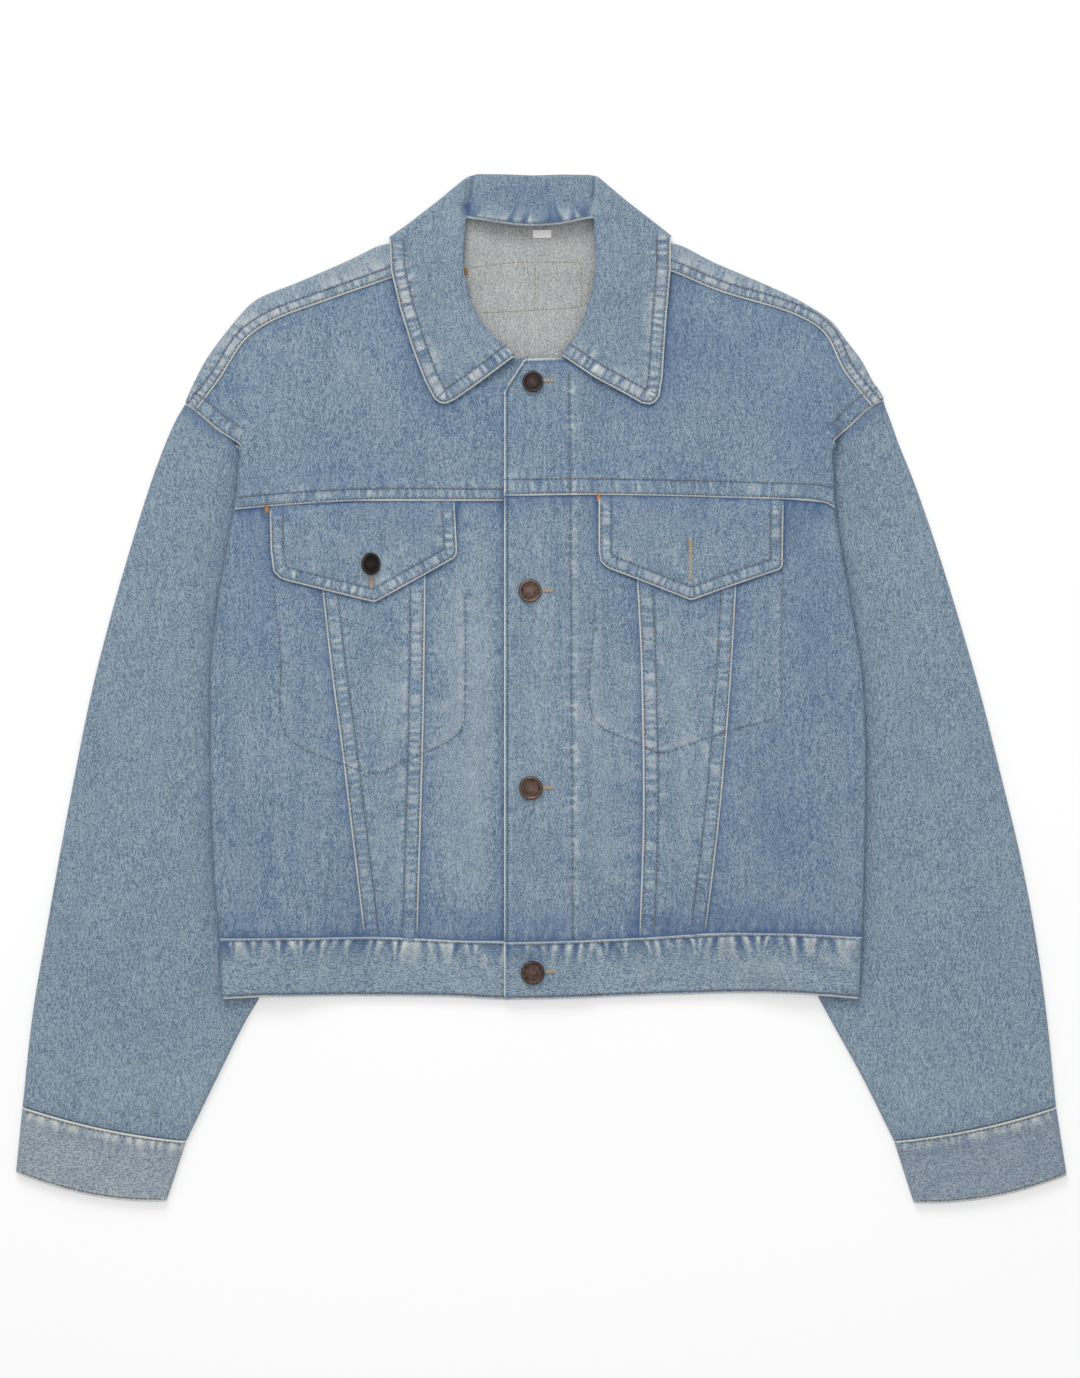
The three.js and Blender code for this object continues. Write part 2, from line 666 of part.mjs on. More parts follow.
// The collar: leaves and stand in front, and the fall folded down behind the back yoke.
function collar() {
  const top = (x) => {
    const after = COLLAR_TOP.findIndex((row) => row.x >= x);
    const i = THREE.MathUtils.clamp(after, 1, COLLAR_TOP.length - 1);
    const [a, b] = [COLLAR_TOP[i - 1], COLLAR_TOP[i]];
    return a.y + (b.y - a.y) * (x - a.x) / (b.x - a.x);
  };
  const stations = [];
  COLLAR_TOP.forEach((row, i) => {
    stations.push(row.x);
    const next = COLLAR_TOP[i + 1];
    if (next && next.x - row.x > STATION_GAP) stations.push((row.x + next.x) / 2);
  });
  const sheet = (foot, steps, height, turn) => {
    const columns = stations.map((x) => {
      const slant = (top(x + SLANT_REACH) - top(x - SLANT_REACH)) / (2 * SLANT_REACH);
      return collarColumn(x, top(x), slant, foot, steps, height, turn);
    });
    return wall(columns.map((c) => c.outer), columns.map((c) => c.inner));
  };
  const front = sheet(COLLAR_FOOT, COLLAR_STEPS, collarHeight, 1).intersect(prism(COLLAR_FRONT));
  const fall = sheet(FALL_FOOT, FALL_STEPS, () => 0, -1).intersect(prism(COLLAR_FALL));
  return front.add(fall);
}

// Point at a share of the way along a smooth line in plan.
function alongLine(line) {
  const path = smoothPath(line);
  return (share) => path.getPointAt(share);
}

// Bowed line between two points: it swells outward, away from the sleeve, by the bow.
function bowed(from, to, bow) {
  const a = new THREE.Vector3(...from, 0);
  const b = new THREE.Vector3(...to, 0);
  return (share) => a.clone().lerp(b, share).add(new THREE.Vector3(0, -bow * 4 * share * (1 - share), 0));
}

// Steps round a fold from below to above: share of the reach, and which half of the height.
const UPWARD_FOLD = [[0, -1], [0.5, -1], [1, 1], [0.5, 1], [0, 1]];

// A flattened tube whose plan fills four edges: its two long edges and its two ends.
function flatTube(outerEdge, innerEdge, startEdge, endEdge, rows, shares, thick, wallThick) {
  const plan = (s, t) => {
    const a = startEdge(s).multiplyScalar(1 - t).add(endEdge(s).multiplyScalar(t));
    const b = outerEdge(t).multiplyScalar(1 - s).add(innerEdge(t).multiplyScalar(s));
    const c = startEdge(0).multiplyScalar((1 - s) * (1 - t)).add(startEdge(1).multiplyScalar(s * (1 - t)))
      .add(endEdge(0).multiplyScalar((1 - s) * t)).add(endEdge(1).multiplyScalar(s * t));
    return a.add(b).sub(c);
  };
  const outer = [];
  const inner = [];
  for (const t of rows) {
    const width = plan(0, t).distanceTo(plan(1, t));
    const ringOuter = [];
    const ringInner = [];
    const place = (s, edgeShare, lift, turn) => {
      const total = thick(s, t);
      const half = total / 2;
      const reach = Math.min(half, FOLD_DEPTH);
      const outIn = reach * (1 - edgeShare) / width;
      const inIn = (wallThick + (reach - wallThick) * (1 - edgeShare)) / width;
      const signed = s < 0.5 ? 1 : -1;
      const p = plan(s + signed * outIn, t);
      const q = plan(s + signed * inIn, t);
      ringOuter.push([p.x, p.y, half + turn * lift * half]);
      ringInner.push([q.x, q.y, half + turn * lift * (half - wallThick)]);
    };
    const edge = (s, turns) => {
      for (const [step, turn] of turns) {
        const angle = step * Math.PI / 2;
        place(s, Math.sin(angle), Math.cos(angle), turn);
      }
    };
    const middle = (turn, order) => {
      for (const share of order) {
        const total = thick(share, t);
        const p = plan(share, t);
        ringOuter.push([p.x, p.y, turn > 0 ? total : 0]);
        ringInner.push([p.x, p.y, turn > 0 ? total - wallThick : wallThick]);
      }
    };
    edge(0, UPWARD_FOLD);
    middle(1, shares);
    edge(1, [...UPWARD_FOLD].reverse());
    middle(-1, [...shares].reverse());
    outer.push(ringOuter);
    inner.push(ringInner);
  }
  return wall(outer, inner, true);
}

const SLEEVE_ROWS = [0, 0.04, 0.09, 0.15, 0.22, 0.3, 0.41, 0.53, 0.65, 0.77, 0.89, 1];
const SLEEVE_SHARES = [0.06, 0.12, 0.185, 0.3, 0.46, 0.64, 0.82];
const CUFF_ROWS = [0, 0.5, 1];
const CUFF_SHARES = [0.1, 0.25, 0.4, 0.55, 0.7, 0.85];

// The sleeve head: how far down and from where across it lies flatter, and the rows of its hidden edge.
const HEAD_RUN = 0.3;
const HEAD_ACROSS = [0.11, 0.26];
const HIDDEN_ROWS = [126, 80, 30];

// A sleeve lies flat from its armhole, under the body's side, out to its cuff seam.
function sleeve(side) {
  const outerX = curveOf(SLEEVE_OUTER, 'y', side);
  const innerX = curveOf(SLEEVE_INNER, 'y', side);
  const tip = ARMHOLE[side][0];
  const lowest = CUFF[side];
  const outerEdge = (t) => {
    const y = THREE.MathUtils.lerp(tip[1] - 2 * SEAM, lowest.seamOuter[1] + SEAM, t);
    return new THREE.Vector3(outerX(y), y, 0);
  };
  const innerEdge = (t) => {
    const y = THREE.MathUtils.lerp(UNDERARM, lowest.seamInner[1] + SEAM, t);
    return new THREE.Vector3(innerX(y), y, 0);
  };
  const shift = 2 * SEAM * SIDES[side];
  const beneath = HIDDEN_ROWS.map((y) => [beneathOf[side](y), y]);
  const between = [...ARMHOLE[side].slice(1), ...beneath].map(([x, y]) => [x + shift, y]);
  const headLine = alongLine([
    [outerEdge(0).x, outerEdge(0).y],
    ...between,
    [innerEdge(0).x, UNDERARM],
  ]);
  const endLine = bowed([outerEdge(1).x, outerEdge(1).y], [innerEdge(1).x, innerEdge(1).y], CUFF_SEAM_BOW);
  const thick = (s, t) => {
    const hidden = rise(...HEAD_ACROSS, s) * (1 - rise(0, HEAD_RUN, t));
    return THREE.MathUtils.lerp(FLAT, HEAD_THICK, hidden);
  };
  return flatTube(outerEdge, innerEdge, headLine, endLine, SLEEVE_ROWS, SLEEVE_SHARES, thick, CLOTH);
}

// A cuff is a doubled band, open at its end.
function cuff(side) {
  const { seamOuter, seamInner, endOuter, endInner } = CUFF[side];
  const straight = (from, to) => bowed(from, to, 0);
  return flatTube(straight(seamOuter, endOuter), straight(seamInner, endInner),
    bowed(seamOuter, seamInner, CUFF_SEAM_BOW), bowed(endOuter, endInner, CUFF_END_BOW),
    CUFF_ROWS, CUFF_SHARES, () => FLAT, DOUBLE);
}

// A pocket flap of two layers, laid on the front below the yoke seam: the front's own points moved up.
function pocketFlap(side) {
  const low = BODY_ROWS.findIndex((y) => y > FLAP_LOW) - 1;
  const high = BODY_ROWS.findIndex((y) => y > FLAP_HIGH) + 1;
  const rows = BODY_ROWS.slice(low, high).map((y) => {
    const row = frontRow(side, y);
    return {
      outer: row.outer.map(([x, v, z]) => [x, v, z + SEAM + FALL_THICK]),
      inner: row.outer.map(([x, v, z]) => [x, v, z + SEAM]),
    };
  });
  const strip = wall(rows.map((row) => row.outer), rows.map((row) => row.inner));
  return strip.intersect(prism(FLAP_OUTLINES[side]));
}

// A shank button: a dished cap with a raised rim over a short stem.
function button(radius) {
  const profile = BUTTON_PROFILE.map(({ out, up }) => new THREE.Vector2(out * radius, up * BUTTON_HEIGHT));
  const geometry = new THREE.LatheGeometry(profile, BUTTON_SIDES);
  geometry.rotateX(Math.PI / 2);
  return geometry;
}

// Height of a front's upper face at a place, between the points that make it.
function laidHeight(side, x, y) {
  const i = BODY_ROWS.findIndex((row) => row > y) - 1;
  const heights = [BODY_ROWS[i], BODY_ROWS[i + 1]].map((row) => {
    const points = frontRow(side, row).outer;
    const j = points.findIndex((point) => point[0] > x);
    const [a, b] = [points[j - 1], points[j]];
    return a[2] + (b[2] - a[2]) * (x - a[0]) / (b[0] - a[0]);
  });
  return THREE.MathUtils.lerp(...heights, (y - BODY_ROWS[i]) / (BODY_ROWS[i + 1] - BODY_ROWS[i]));
}

// Highest place that a button sits on.
function underButton({ name, x, y, radius }) {
  const onFlap = name.startsWith('pocket');
  const heights = [-radius, 0, radius].map((step) => laidHeight(onFlap ? 'west' : 'east', x + step, y));
  return Math.max(...heights) + (onFlap ? SEAM + FALL_THICK : 0);
}

// The small tab sewn on the inside of the back yoke at the neck.
function neckLabel() {
  const { x, y, width, depth, thickness } = LABEL;
  const outer = [];
  const inner = [];
  for (const u of [-0.5, 0, 0.5]) {
    const place = (v, above) => {
      const [px, py] = [x + u * width, y + v * depth];
      return [px, py, backHeight(px, py) + CLOTH + SEAM + above];
    };
    outer.push([place(-0.5, thickness), place(0.5, thickness)]);
    inner.push([place(-0.5, 0), place(0.5, 0)]);
  }
  return wall(outer, inner);
}

// Turns a solid into a mesh geometry.
function geometryOf(solid) {
  const mesh = solid.getMesh();
  const geometry = new THREE.BufferGeometry();
  geometry.setAttribute('position', new THREE.BufferAttribute(Float32Array.from(mesh.vertProperties), 3));
  geometry.setIndex(new THREE.BufferAttribute(Uint32Array.from(mesh.triVerts), 1));
  geometry.computeVertexNormals();
  return geometry;
}

const jacket = new THREE.Group();

// Adds a named piece to the jacket.
function addPiece(name, geometry, finish) {
  const mesh = new THREE.Mesh(geometry, new THREE.MeshStandardMaterial(FINISH[finish]));
  mesh.name = name;
  jacket.add(mesh);
  return mesh;
}

for (const [name, solid] of Object.entries(bodyPieces())) {
  addPiece(name, geometryOf(solid), name === 'waistband' ? 'trim' : 'denim');
}
addPiece('collar', geometryOf(collar()), 'trim');
for (const [side, hand] of [['west', 'right'], ['east', 'left']]) {
  addPiece(`sleeve_${hand}`, geometryOf(sleeve(side)), 'sleeve');
  addPiece(`cuff_${hand}`, geometryOf(cuff(side)), 'sleeve');
  addPiece(`pocket_flap_${hand}`, geometryOf(pocketFlap(side)), 'trim');
}
for (const place of BUTTONS) {
  const mesh = addPiece(place.name, button(place.radius), 'button');
  mesh.position.set(place.x, place.y, underButton(place) + SEAM);
}
addPiece('neck_label', geometryOf(neckLabel()), 'label');

export default jacket;
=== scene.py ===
"""Looks of a light blue denim jacket laid flat, face up, built round its fixed frame.

Shapes are worked out in millimetres from named sizes and short tables of places in plan, and go
into meshes in metres. +X is the wearer's left, +Y the collar end and +Z up off the surface.
"""

import math

import bpy
import numpy as np
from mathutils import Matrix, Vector
from mathutils.geometry import delaunay_2d_cdt


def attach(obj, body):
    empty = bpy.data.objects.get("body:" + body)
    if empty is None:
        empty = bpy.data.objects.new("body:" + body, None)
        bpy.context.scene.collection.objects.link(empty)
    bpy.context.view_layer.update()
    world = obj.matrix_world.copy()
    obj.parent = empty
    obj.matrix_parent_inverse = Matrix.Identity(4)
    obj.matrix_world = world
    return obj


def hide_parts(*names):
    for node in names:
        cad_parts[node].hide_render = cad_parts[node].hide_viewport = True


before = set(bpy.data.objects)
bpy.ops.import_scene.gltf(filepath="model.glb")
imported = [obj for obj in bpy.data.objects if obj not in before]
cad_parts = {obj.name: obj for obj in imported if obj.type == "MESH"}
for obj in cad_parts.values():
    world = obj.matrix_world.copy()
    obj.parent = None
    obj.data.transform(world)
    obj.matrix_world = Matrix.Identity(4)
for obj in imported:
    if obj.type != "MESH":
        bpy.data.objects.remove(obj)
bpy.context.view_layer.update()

METRES = 0.001
SIDES = {"west": -1, "east": 1}
HANDS = {"west": "right", "east": "left"}

# Layers and thicknesses of cloth, as in the frame.
DOUBLE = 2.4
GAP = 0.3
FLAT = 6.0
SLEEVE_LIFT = 6.5
HEAD_LIFT = 3.5
HEAD_THICK = 2.9
FALL_LIFT = 2.7
FALL_THICK = 2.2
STAND_TOP = 4.4
BACK_CLEAR = 0.4
REST = 0.1
FOLD_DEPTH = 3.0
STEEPEST = 2.2
COLLAR_STEEPEST = 2.0
LOWEST = 0.05
UNDER_LAP = 2.2

# Thickness of each kind of piece: one layer, the waistband and collar, the flaps, cuffs and label.
ONE_LAYER = 1.1
BAND_SHELL = 1.7
FLAP_SHELL = 1.8
CUFF_SHELL = 1.9
LABEL_SHELL = 0.8

# Places where the layers change.
ARMHOLE_FOOT = 171.0
PLEAT_TOP = 246.0
PLEAT_STEP = 7.0
UNDERARM = -20.0
PLACKET_EDGE = -26.3
PLACKET_STITCH = 20.7
UNDERLAP_EDGE = 21.0
BACK_YOKE_ENDS = 133.0
YOKE_CORNER = 126.0
# Sleeve under the body: its slope, measured in from its inner edge, and the flatter head above it.
SLEEVE_SLOPE = (-62, -12)
HEAD_SLOPE = (0, 45)
BELOW_HEAD = (-90, UNDERARM)
ABOVE_HEAD = (90, 150)
# The collar's fall beneath the back: up the garment, and off its own middle.
FALL_RISE = (280, 296)
FALL_SIDES = (102, 124)
FALL_MIDDLE = -8
FALL_SNUG = 0.7
# How far past its stitches the placket's doubled cloth thins out.
PLACKET_THINS = (6, 20)
# Where the collar's leaves cross the placket and rise at the back, and where its stand begins.
LEAF_ON_PLACKET = ((-54, -32), (34, 64))
LEAF_RISE = (264, 284)
STAND_SIDES = ((-55, -49), (32, 39))
STAND_RISE = (328, 336)

# How far rows of stitches lie from their seams: the first row, the second row of each kind of
# seam, and the rows that run alone.
FIRST_ROW = 1.7
YOKE_BAND = {"west": 8.5, "east": 11.5}
PANEL_BAND = 10.5
SHOULDER_BAND = 7.5
FLAP_BAND = 9.0
LEAF_BAND = 10.0
BACK_BAND = 9.0
HEM_ROW = 2.4
WAIST_ROW = 2.0
PLACKET_ROW = 2.5
BAND_END_ROW = 3.0
NECK_CORNER_ROW = 2.6
CUFF_SEAM_BAND = 8.0
CUFF_END_BAND = 3.5

# Side outline of the body: height up the garment, then the wearer's right and left side.
BODY_OUTLINE = [
    (-216, -223.7, 222.3), (-173, -225.4, 224.4), (-130, -229.2, 225.6), (-42, -231.6, 227),
    (3, -231.8, 225.1), (58, -227, 217), (100, -220, 209.5), (126, -215.3, 205.8),
    (150, -212.6, 204.4), (166, -211.2, 203.6),
    (173, -217, 208.5), (180, -230, 218), (190, -244, 230), (199, -251, 240.5), (204, -249, 240),
    (217, -243, 232), (231, -235.6, 224.5), (245, -225.8, 213.9), (258, -215.5, 203.8), (273, -201, 181),
    (287, -168, 151), (301, -136, 118.5), (306, -125.5, 109), (311, -114.5, 98.5), (315, -98, 85),
    (320, -86, 74), (326, -74, 62), (334, -60, 46),
]
# Inner limit of each sleeve where it lies beneath the body.
SLEEVE_BENEATH = [
    (-230, -204.5, 201.5), (-217, -198.5, 195), (-170, -176, 172), (-120, -157, 152), (-70, -140, 134),
    (-20, -127, 121), (30, -143, 137), (80, -166, 160), (126, -190, 183.5), (171, -210.4, 204),
    (246, -202.7, 199.6),
]
SLEEVE_OUTER = [
    (-292, -364, 360.9), (-231, -357.4, 354.6), (-175, -348.3, 346.9), (-119, -338.5, 336.4),
    (-63, -328, 323), (-7, -316.8, 309), (49, -302.8, 293), (105, -286.7, 275.5),
    (147, -273.4, 260.8), (175, -262.9, 249.6),
    (189, -256.6, 244.7), (201, -249.6, 240.1),
]
SLEEVE_INNER = [
    (-316, -249, 247.2), (-273, -228, 225.8), (-231, -206.9, 202.7), (-217, -198.5, 195), (-170, -176, 172),
    (-120, -157, 152), (-70, -140, 134), (-20, -127, 121),
]
CUFFS = {
    "west": {"seam_outer": (-364, -292), "seam_inner": (-249, -316), "end_outer": (-368.6, -338.1),
             "end_inner": (-263, -358.4)},
    "east": {"seam_outer": (360.9, -292), "seam_inner": (247.2, -316), "end_outer": (368.3, -340),
             "end_inner": (261.1, -359.5)},
}
CUFF_SEAM_BOW = 3.5
CUFF_END_BOW = 6.0

# Seams of the fronts, as lines in plan.
ARMHOLES = {
    "west": [(-249.6, 201), (-241.9, 195), (-226, 181.5), (-210.4, 171)],
    "east": [(240.1, 203), (230, 197.7), (216.5, 185), (204, 173.5)],
}
SHOULDER_SEAMS = {
    "west": [(-60, 303), (-71, 299.6), (-106, 288), (-148.8, 273.3), (-190.4, 257.3), (-207.8, 244.6),
             (-225.3, 217.7), (-241.9, 196)],
    "east": [(44, 305), (55, 303), (91.4, 292.6), (124.3, 279.3), (178.9, 262.1), (197.8, 249.9),
             (211.8, 223.3), (231, 198.8)],
}
YOKE_SEAMS = {
    "west": [(-240, 122), (-213, 126), (-173, 129.5), (-127.8, 132.3), (-27.7, 132.3), (40, 132.3)],
    "east": [(-60, 135.8), (-27.7, 135.8), (40, 136.5), (164, 133.3), (197, 130.9), (208, 125.5), (230, 118)],
}
WAIST_SEAMS = {
    "west": [(-250, -173.6), (-224.6, -173.6), (-118.7, -172.9), (-46, -175.7), (40, -176.2)],
    "east": [(-60, -176.4), (-25.6, -176.4), (13, -175.7), (68, -173.6), (139, -169.8), (177.8, -170.2),
             (222.8, -172.5), (250, -173)],
}
# The two seams that make the V on each front: height up the garment, then place across.
VEE_SEAMS = {
    "west": {"side": [(-185, -123), (-97.3, -133), (-42, -139.7), (12.6, -147), (67.9, -153.3), (145, -162)],
             "middle": [(-185, -87), (-113.4, -85), (-15.4, -82.3), (79, -81), (145, -79.5)]},
    "east": {"side": [(-185, 113.5), (-77, 125.7), (12.6, 133), (73.7, 136.4), (145, 140.2)],
             "middle": [(-185, 68), (-77, 71), (12.6, 69.7), (76, 66.7), (150, 61)]},
}
BACK_YOKE_SEAM = [(-260, 134), (-120, 131), (0, 130), (120, 131), (260, 134)]
BACK_WAIST_SEAM = [(-260, -174), (-120, -174.5), (0, -175.5), (120, -172), (260, -172.6)]

# Neck openings of the two fronts under the collar's roll, and the top of the back yoke.
NECK_EDGES = {
    "west": [(-63, 304), (-63, 284), (-57, 267), (-43, 246.5), (-20, 232.4)],
    "east": [(-10, 232.4), (14.5, 232.4), (33, 246.5), (42, 267), (46, 288), (46, 304)],
}
BACK_NECK = [(-66, 332), (-52, 331), (-30, 328.6), (-9, 326.4), (15, 328), (36, 331), (52, 332)]

COLLAR_TOP = [
    (-106.6, 317.4), (-95, 325.4), (-72, 343.2), (-57, 355.6), (-51, 360.2), (-45, 362), (-26, 361.8),
    (-6, 361), (14, 361.6), (33, 361.4), (39.5, 359.4), (60, 342.4), (80, 327), (90.8, 318.4),
]
COLLAR_LEAF_WEST = [(-106.4, 315), (-105.4, 293.3), (-99, 266), (-90.2, 238), (-81.9, 216.3), (-75.3, 203.7),
                    (-71, 200.6), (-66.5, 200.3), (-60.6, 203), (-38.2, 218.8), (-17.9, 233.8)]
COLLAR_ROLL_WEST = [(-17.9, 233.8), (-35.4, 249.2), (-48, 268.8), (-54.3, 296.1), (-52.8, 330.2)]
COLLAR_STAND_FOOT = [(-52.8, 330.2), (-30, 326.1), (-9, 323.9), (15, 325.5), (36.6, 330.2)]
COLLAR_ROLL_EAST = [(36.6, 330.2), (37.1, 287.7), (32.3, 268.8), (25.3, 249.2), (13, 234.5)]
COLLAR_LEAF_EAST = [(13, 234.5), (36.4, 218.8), (59.9, 206.5), (70, 200.6), (75.5, 199.6), (80, 201.6),
                    (82.8, 206), (84.8, 218.8), (87.6, 260.4), (90.4, 293.3), (90.6, 316)]
COLLAR_FALL = [(-106.2, 315), (-99, 308.5), (-80, 304), (-50, 301), (-6, 299.8), (38, 301), (66, 304),
               (84, 309), (90.6, 316)]

# Pocket flaps, from the corner at the yoke seam round the point and up again.
FLAPS = {
    "west": [(-190, 125.4), (-189.4, 98), (-187.4, 82.2), (-181.6, 77.2), (-150, 69.3), (-116.8, 61.2),
             (-86, 78.2), (-60.6, 92.4), (-58.8, 95), (-60.8, 131.3)],
    "east": [(39.9, 135.2), (39.9, 97), (41.2, 90), (45.5, 85.6), (75, 74.3), (104.7, 62.6), (136, 73.7),
             (167, 84.2), (168.8, 87), (169.2, 131.6)],
}
# Pocket bags, whose stitching shows below the flaps.
BAG_STITCHES = {
    "west": [(-187.5, 73), (-182.4, 22), (-181, -27), (-172, -37.5), (-142.5, -50.7), (-116, -58),
             (-95.5, -50), (-63, -34.6), (-55.6, -26), (-53.5, 7), (-53.5, 66)],
    "east": [(37.3, 60), (37.3, -21), (64.5, -36), (83.6, -44), (104.3, -37.5), (138, -26.6), (164.7, -16.8),
             (167, 21.7), (169, 83)],
}

BUTTONS = [
    ("front_button_1", -6, 215.6, 7.4), ("front_button_2", -8, 69.3, 8), ("front_button_3", -7.4, -68.6, 8.3),
    ("front_button_4", -6, -197.7, 8.3), ("pocket_button_right", -118.4, 88, 7.8),
]
# How far each button leans over on its shank, in degrees.
BUTTON_LEANS = {"front_button_1": 4, "front_button_2": 3, "front_button_3": -3, "front_button_4": 4,
                "pocket_button_right": 34}
LABEL = {"x": 0.4, "y": 319.8, "width": 13, "depth": 5.6, "thickness": 1.0}


def rise(low, high, value):
    """Smooth step: t squared times (3 - 2t), with t the share of the way from low to high."""
    t = np.clip((np.asarray(value, float) - low) / (high - low), 0, 1)
    return t * t * (3 - 2 * t)


def plateau(value, up, down):
    """1 between two smooth steps, up from 0 at the first and down again at the second."""
    return rise(*up, value) * (1 - rise(*down, value))


def mix(a, b, share):
    """The value that lies the given share of the way from a to b."""
    return a + (b - a) * share


def curve_of(rows, column=1):
    """Smooth curve through one column of a table: cubic pieces whose slope at each row is the
    harmonic mean of its neighbours' slopes, or 0 at a turn, so it never overshoots."""
    places = np.array([row[0] for row in rows], float)
    values = np.array([row[column] for row in rows], float)
    slopes = np.diff(values) / np.diff(places)
    product = slopes[:-1] * slopes[1:]
    total = np.where(product > 0, slopes[:-1] + slopes[1:], 1)
    inner = np.where(product > 0, 2 * product / total, 0)
    tangents = np.concatenate([slopes[:1], inner, slopes[-1:]])

    def at(place):
        p = np.clip(np.asarray(place, float), places[0], places[-1])
        i = np.clip(np.searchsorted(places, p, side="right") - 1, 0, len(places) - 2)
        span = places[i + 1] - places[i]
        t = (p - places[i]) / span
        return ((2 * t**3 - 3 * t**2 + 1) * values[i] + (t**3 - 2 * t**2 + t) * span * tangents[i]
                + (3 * t**2 - 2 * t**3) * values[i + 1] + (t**3 - t**2) * span * tangents[i + 1])

    return at


def smooth_line(points, spacing=1.6):
    """Even steps along a centripetal Catmull-Rom curve through the points."""
    p = np.asarray(points, float)
    if len(p) > 2:
        knots = np.concatenate([[0], np.cumsum(np.sqrt(np.linalg.norm(np.diff(p, axis=0), axis=1)))])
        slope = np.diff(p, axis=0) / np.diff(knots)[:, None]
        wide = (p[2:] - p[:-2]) / (knots[2:] - knots[:-2])[:, None]
        tangent = np.concatenate([slope[:1], slope[:-1] - wide + slope[1:], slope[-1:]])
        place = np.linspace(0, knots[-1], 24 * len(p))
        i = np.clip(np.searchsorted(knots, place, side="right") - 1, 0, len(p) - 2)
        span = (knots[i + 1] - knots[i])[:, None]
        t = ((place - knots[i]) / span[:, 0])[:, None]
        p = ((2 * t**3 - 3 * t**2 + 1) * p[i] + (t**3 - 2 * t**2 + t) * span * tangent[i]
             + (3 * t**2 - 2 * t**3) * p[i + 1] + (t**3 - t**2) * span * tangent[i + 1])
    return even_line(p, spacing)


def even_line(points, spacing):
    """The same line with its points set at even steps along it."""
    p = np.asarray(points, float)
    run = np.concatenate([[0], np.cumsum(np.linalg.norm(np.diff(p, axis=0), axis=1))])
    steps = np.linspace(0, run[-1], max(2, int(round(run[-1] / spacing)) + 1))
    return np.column_stack([np.interp(steps, run, p[:, 0]), np.interp(steps, run, p[:, 1])])


def off_line(line, places):
    """For each place: how far along the line its nearest point is, how far off the line it is,
    positive to the left of the line's own direction, and how far past the line's ends."""
    start, step = line[:-1], np.diff(line, axis=0)
    length = np.maximum(np.linalg.norm(step, axis=1), 1e-9)
    before = np.concatenate([[0], np.cumsum(length)])[:-1]
    rel = places[:, None, :] - start[None]
    share = np.clip((rel * step).sum(2) / length**2, 0, 1)
    gap = np.linalg.norm(rel - share[..., None] * step, axis=2)
    best = gap.argmin(1)
    rows = np.arange(len(places))
    turn = step[best, 0] * rel[rows, best, 1] - step[best, 1] * rel[rows, best, 0]
    side = np.where(turn >= 0, 1.0, -1.0)
    ahead = (rel[rows, best] * step[best]).sum(1) / length[best]
    past = np.where(best == 0, -ahead, 0)
    past = np.where(best == len(length) - 1, np.maximum(past, ahead - length[best]), past)
    return before[best] + share[rows, best] * length[best], gap[rows, best] * side, np.maximum(past, 0)


def ripple(run, pitch, seed):
    """Uneven ups and downs along a line, from -1 to 1: random heights that mostly change sign
    at each half pitch, joined by smooth steps."""
    chance = np.random.default_rng(seed)
    count = int(max(np.max(run), 1) / pitch * 2) + 4
    heights = chance.uniform(0.35, 1.0, count) * np.where(np.arange(count) % 2, 1, -1)
    heights[chance.uniform(size=count) < 0.15] *= -0.4
    shift = np.cumsum(chance.uniform(0.6, 1.4, count)) * pitch / 2
    i = np.clip(np.searchsorted(shift, run) - 1, 0, count - 2)
    share = rise(0, 1, (run - shift[i]) / (shift[i + 1] - shift[i]))
    return mix(heights[i], heights[i + 1], share)


outline = {side: curve_of(BODY_OUTLINE, 1 + (side == "east")) for side in SIDES}
beneath = {side: curve_of(SLEEVE_BENEATH, 1 + (side == "east")) for side in SIDES}


def sleeve_lift(x, y, side):
    """How far a sleeve lifts the body: a slope up its inner edge, lower over the sleeve's head."""
    inward = SIDES[side] * (x - beneath[side](y))
    climb = rise(*SLEEVE_SLOPE, inward)
    above = SLEEVE_LIFT * (1 - rise(ARMHOLE_FOOT, PLEAT_TOP, y)) * climb * (1 - rise(0, PLEAT_STEP, inward))
    full = 1 - rise(*BELOW_HEAD, y) * (1 - rise(*ABOVE_HEAD, y))
    head = HEAD_LIFT + (SLEEVE_LIFT - HEAD_LIFT) * full
    below = head * climb + (SLEEVE_LIFT - HEAD_LIFT) * (1 - full) * rise(*HEAD_SLOPE, inward)
    return np.where(y > ARMHOLE_FOOT, above, below)


def over_fall(x, y):
    """1 where the collar's fall lies beneath the back, with a smooth step to 0 round it."""
    return rise(*FALL_RISE, y) * (1 - rise(*FALL_SIDES, np.abs(x - FALL_MIDDLE)))


def back_face(x, y):
    """Underside of the back: 0 on the surface, lifted by both sleeves and the collar's fall."""
    return sleeve_lift(x, y, "west") + sleeve_lift(x, y, "east") + FALL_LIFT * over_fall(x, y)


def placket_share(x):
    """1 on the placket's doubled cloth and 0 past it."""
    thins, thin = PLACKET_THINS
    return 1 - rise(PLACKET_STITCH + thins, PLACKET_STITCH + thin, x)


def folded_side(x, y, face, turn):
    """Rolls a face over at the body's side on a quarter ellipse, down (or up) to half height."""
    rolled = face
    for side, way in SIDES.items():
        edge = outline[side](y)
        slant = (outline[side](y + 1) - outline[side](y - 1)) / 2
        depth = FOLD_DEPTH * np.minimum(np.hypot(1, slant), STEEPEST)
        past = np.clip(1 - way * (edge - x) / depth, 0, 1)
        rolled = rolled - turn * FLAT / 2 * (1 - np.sqrt(1 - past**2))
    return rolled


def front_face(x, y, side):
    """Upper face of a front: the flat body's depth above the back, and at the placket of the
    wearer's left front the doubled cloth above the other front."""
    lap = placket_share(x) * (GAP + DOUBLE) if side == "east" else 0
    return folded_side(x, y, back_face(x, y) + FLAT + lap, 1)


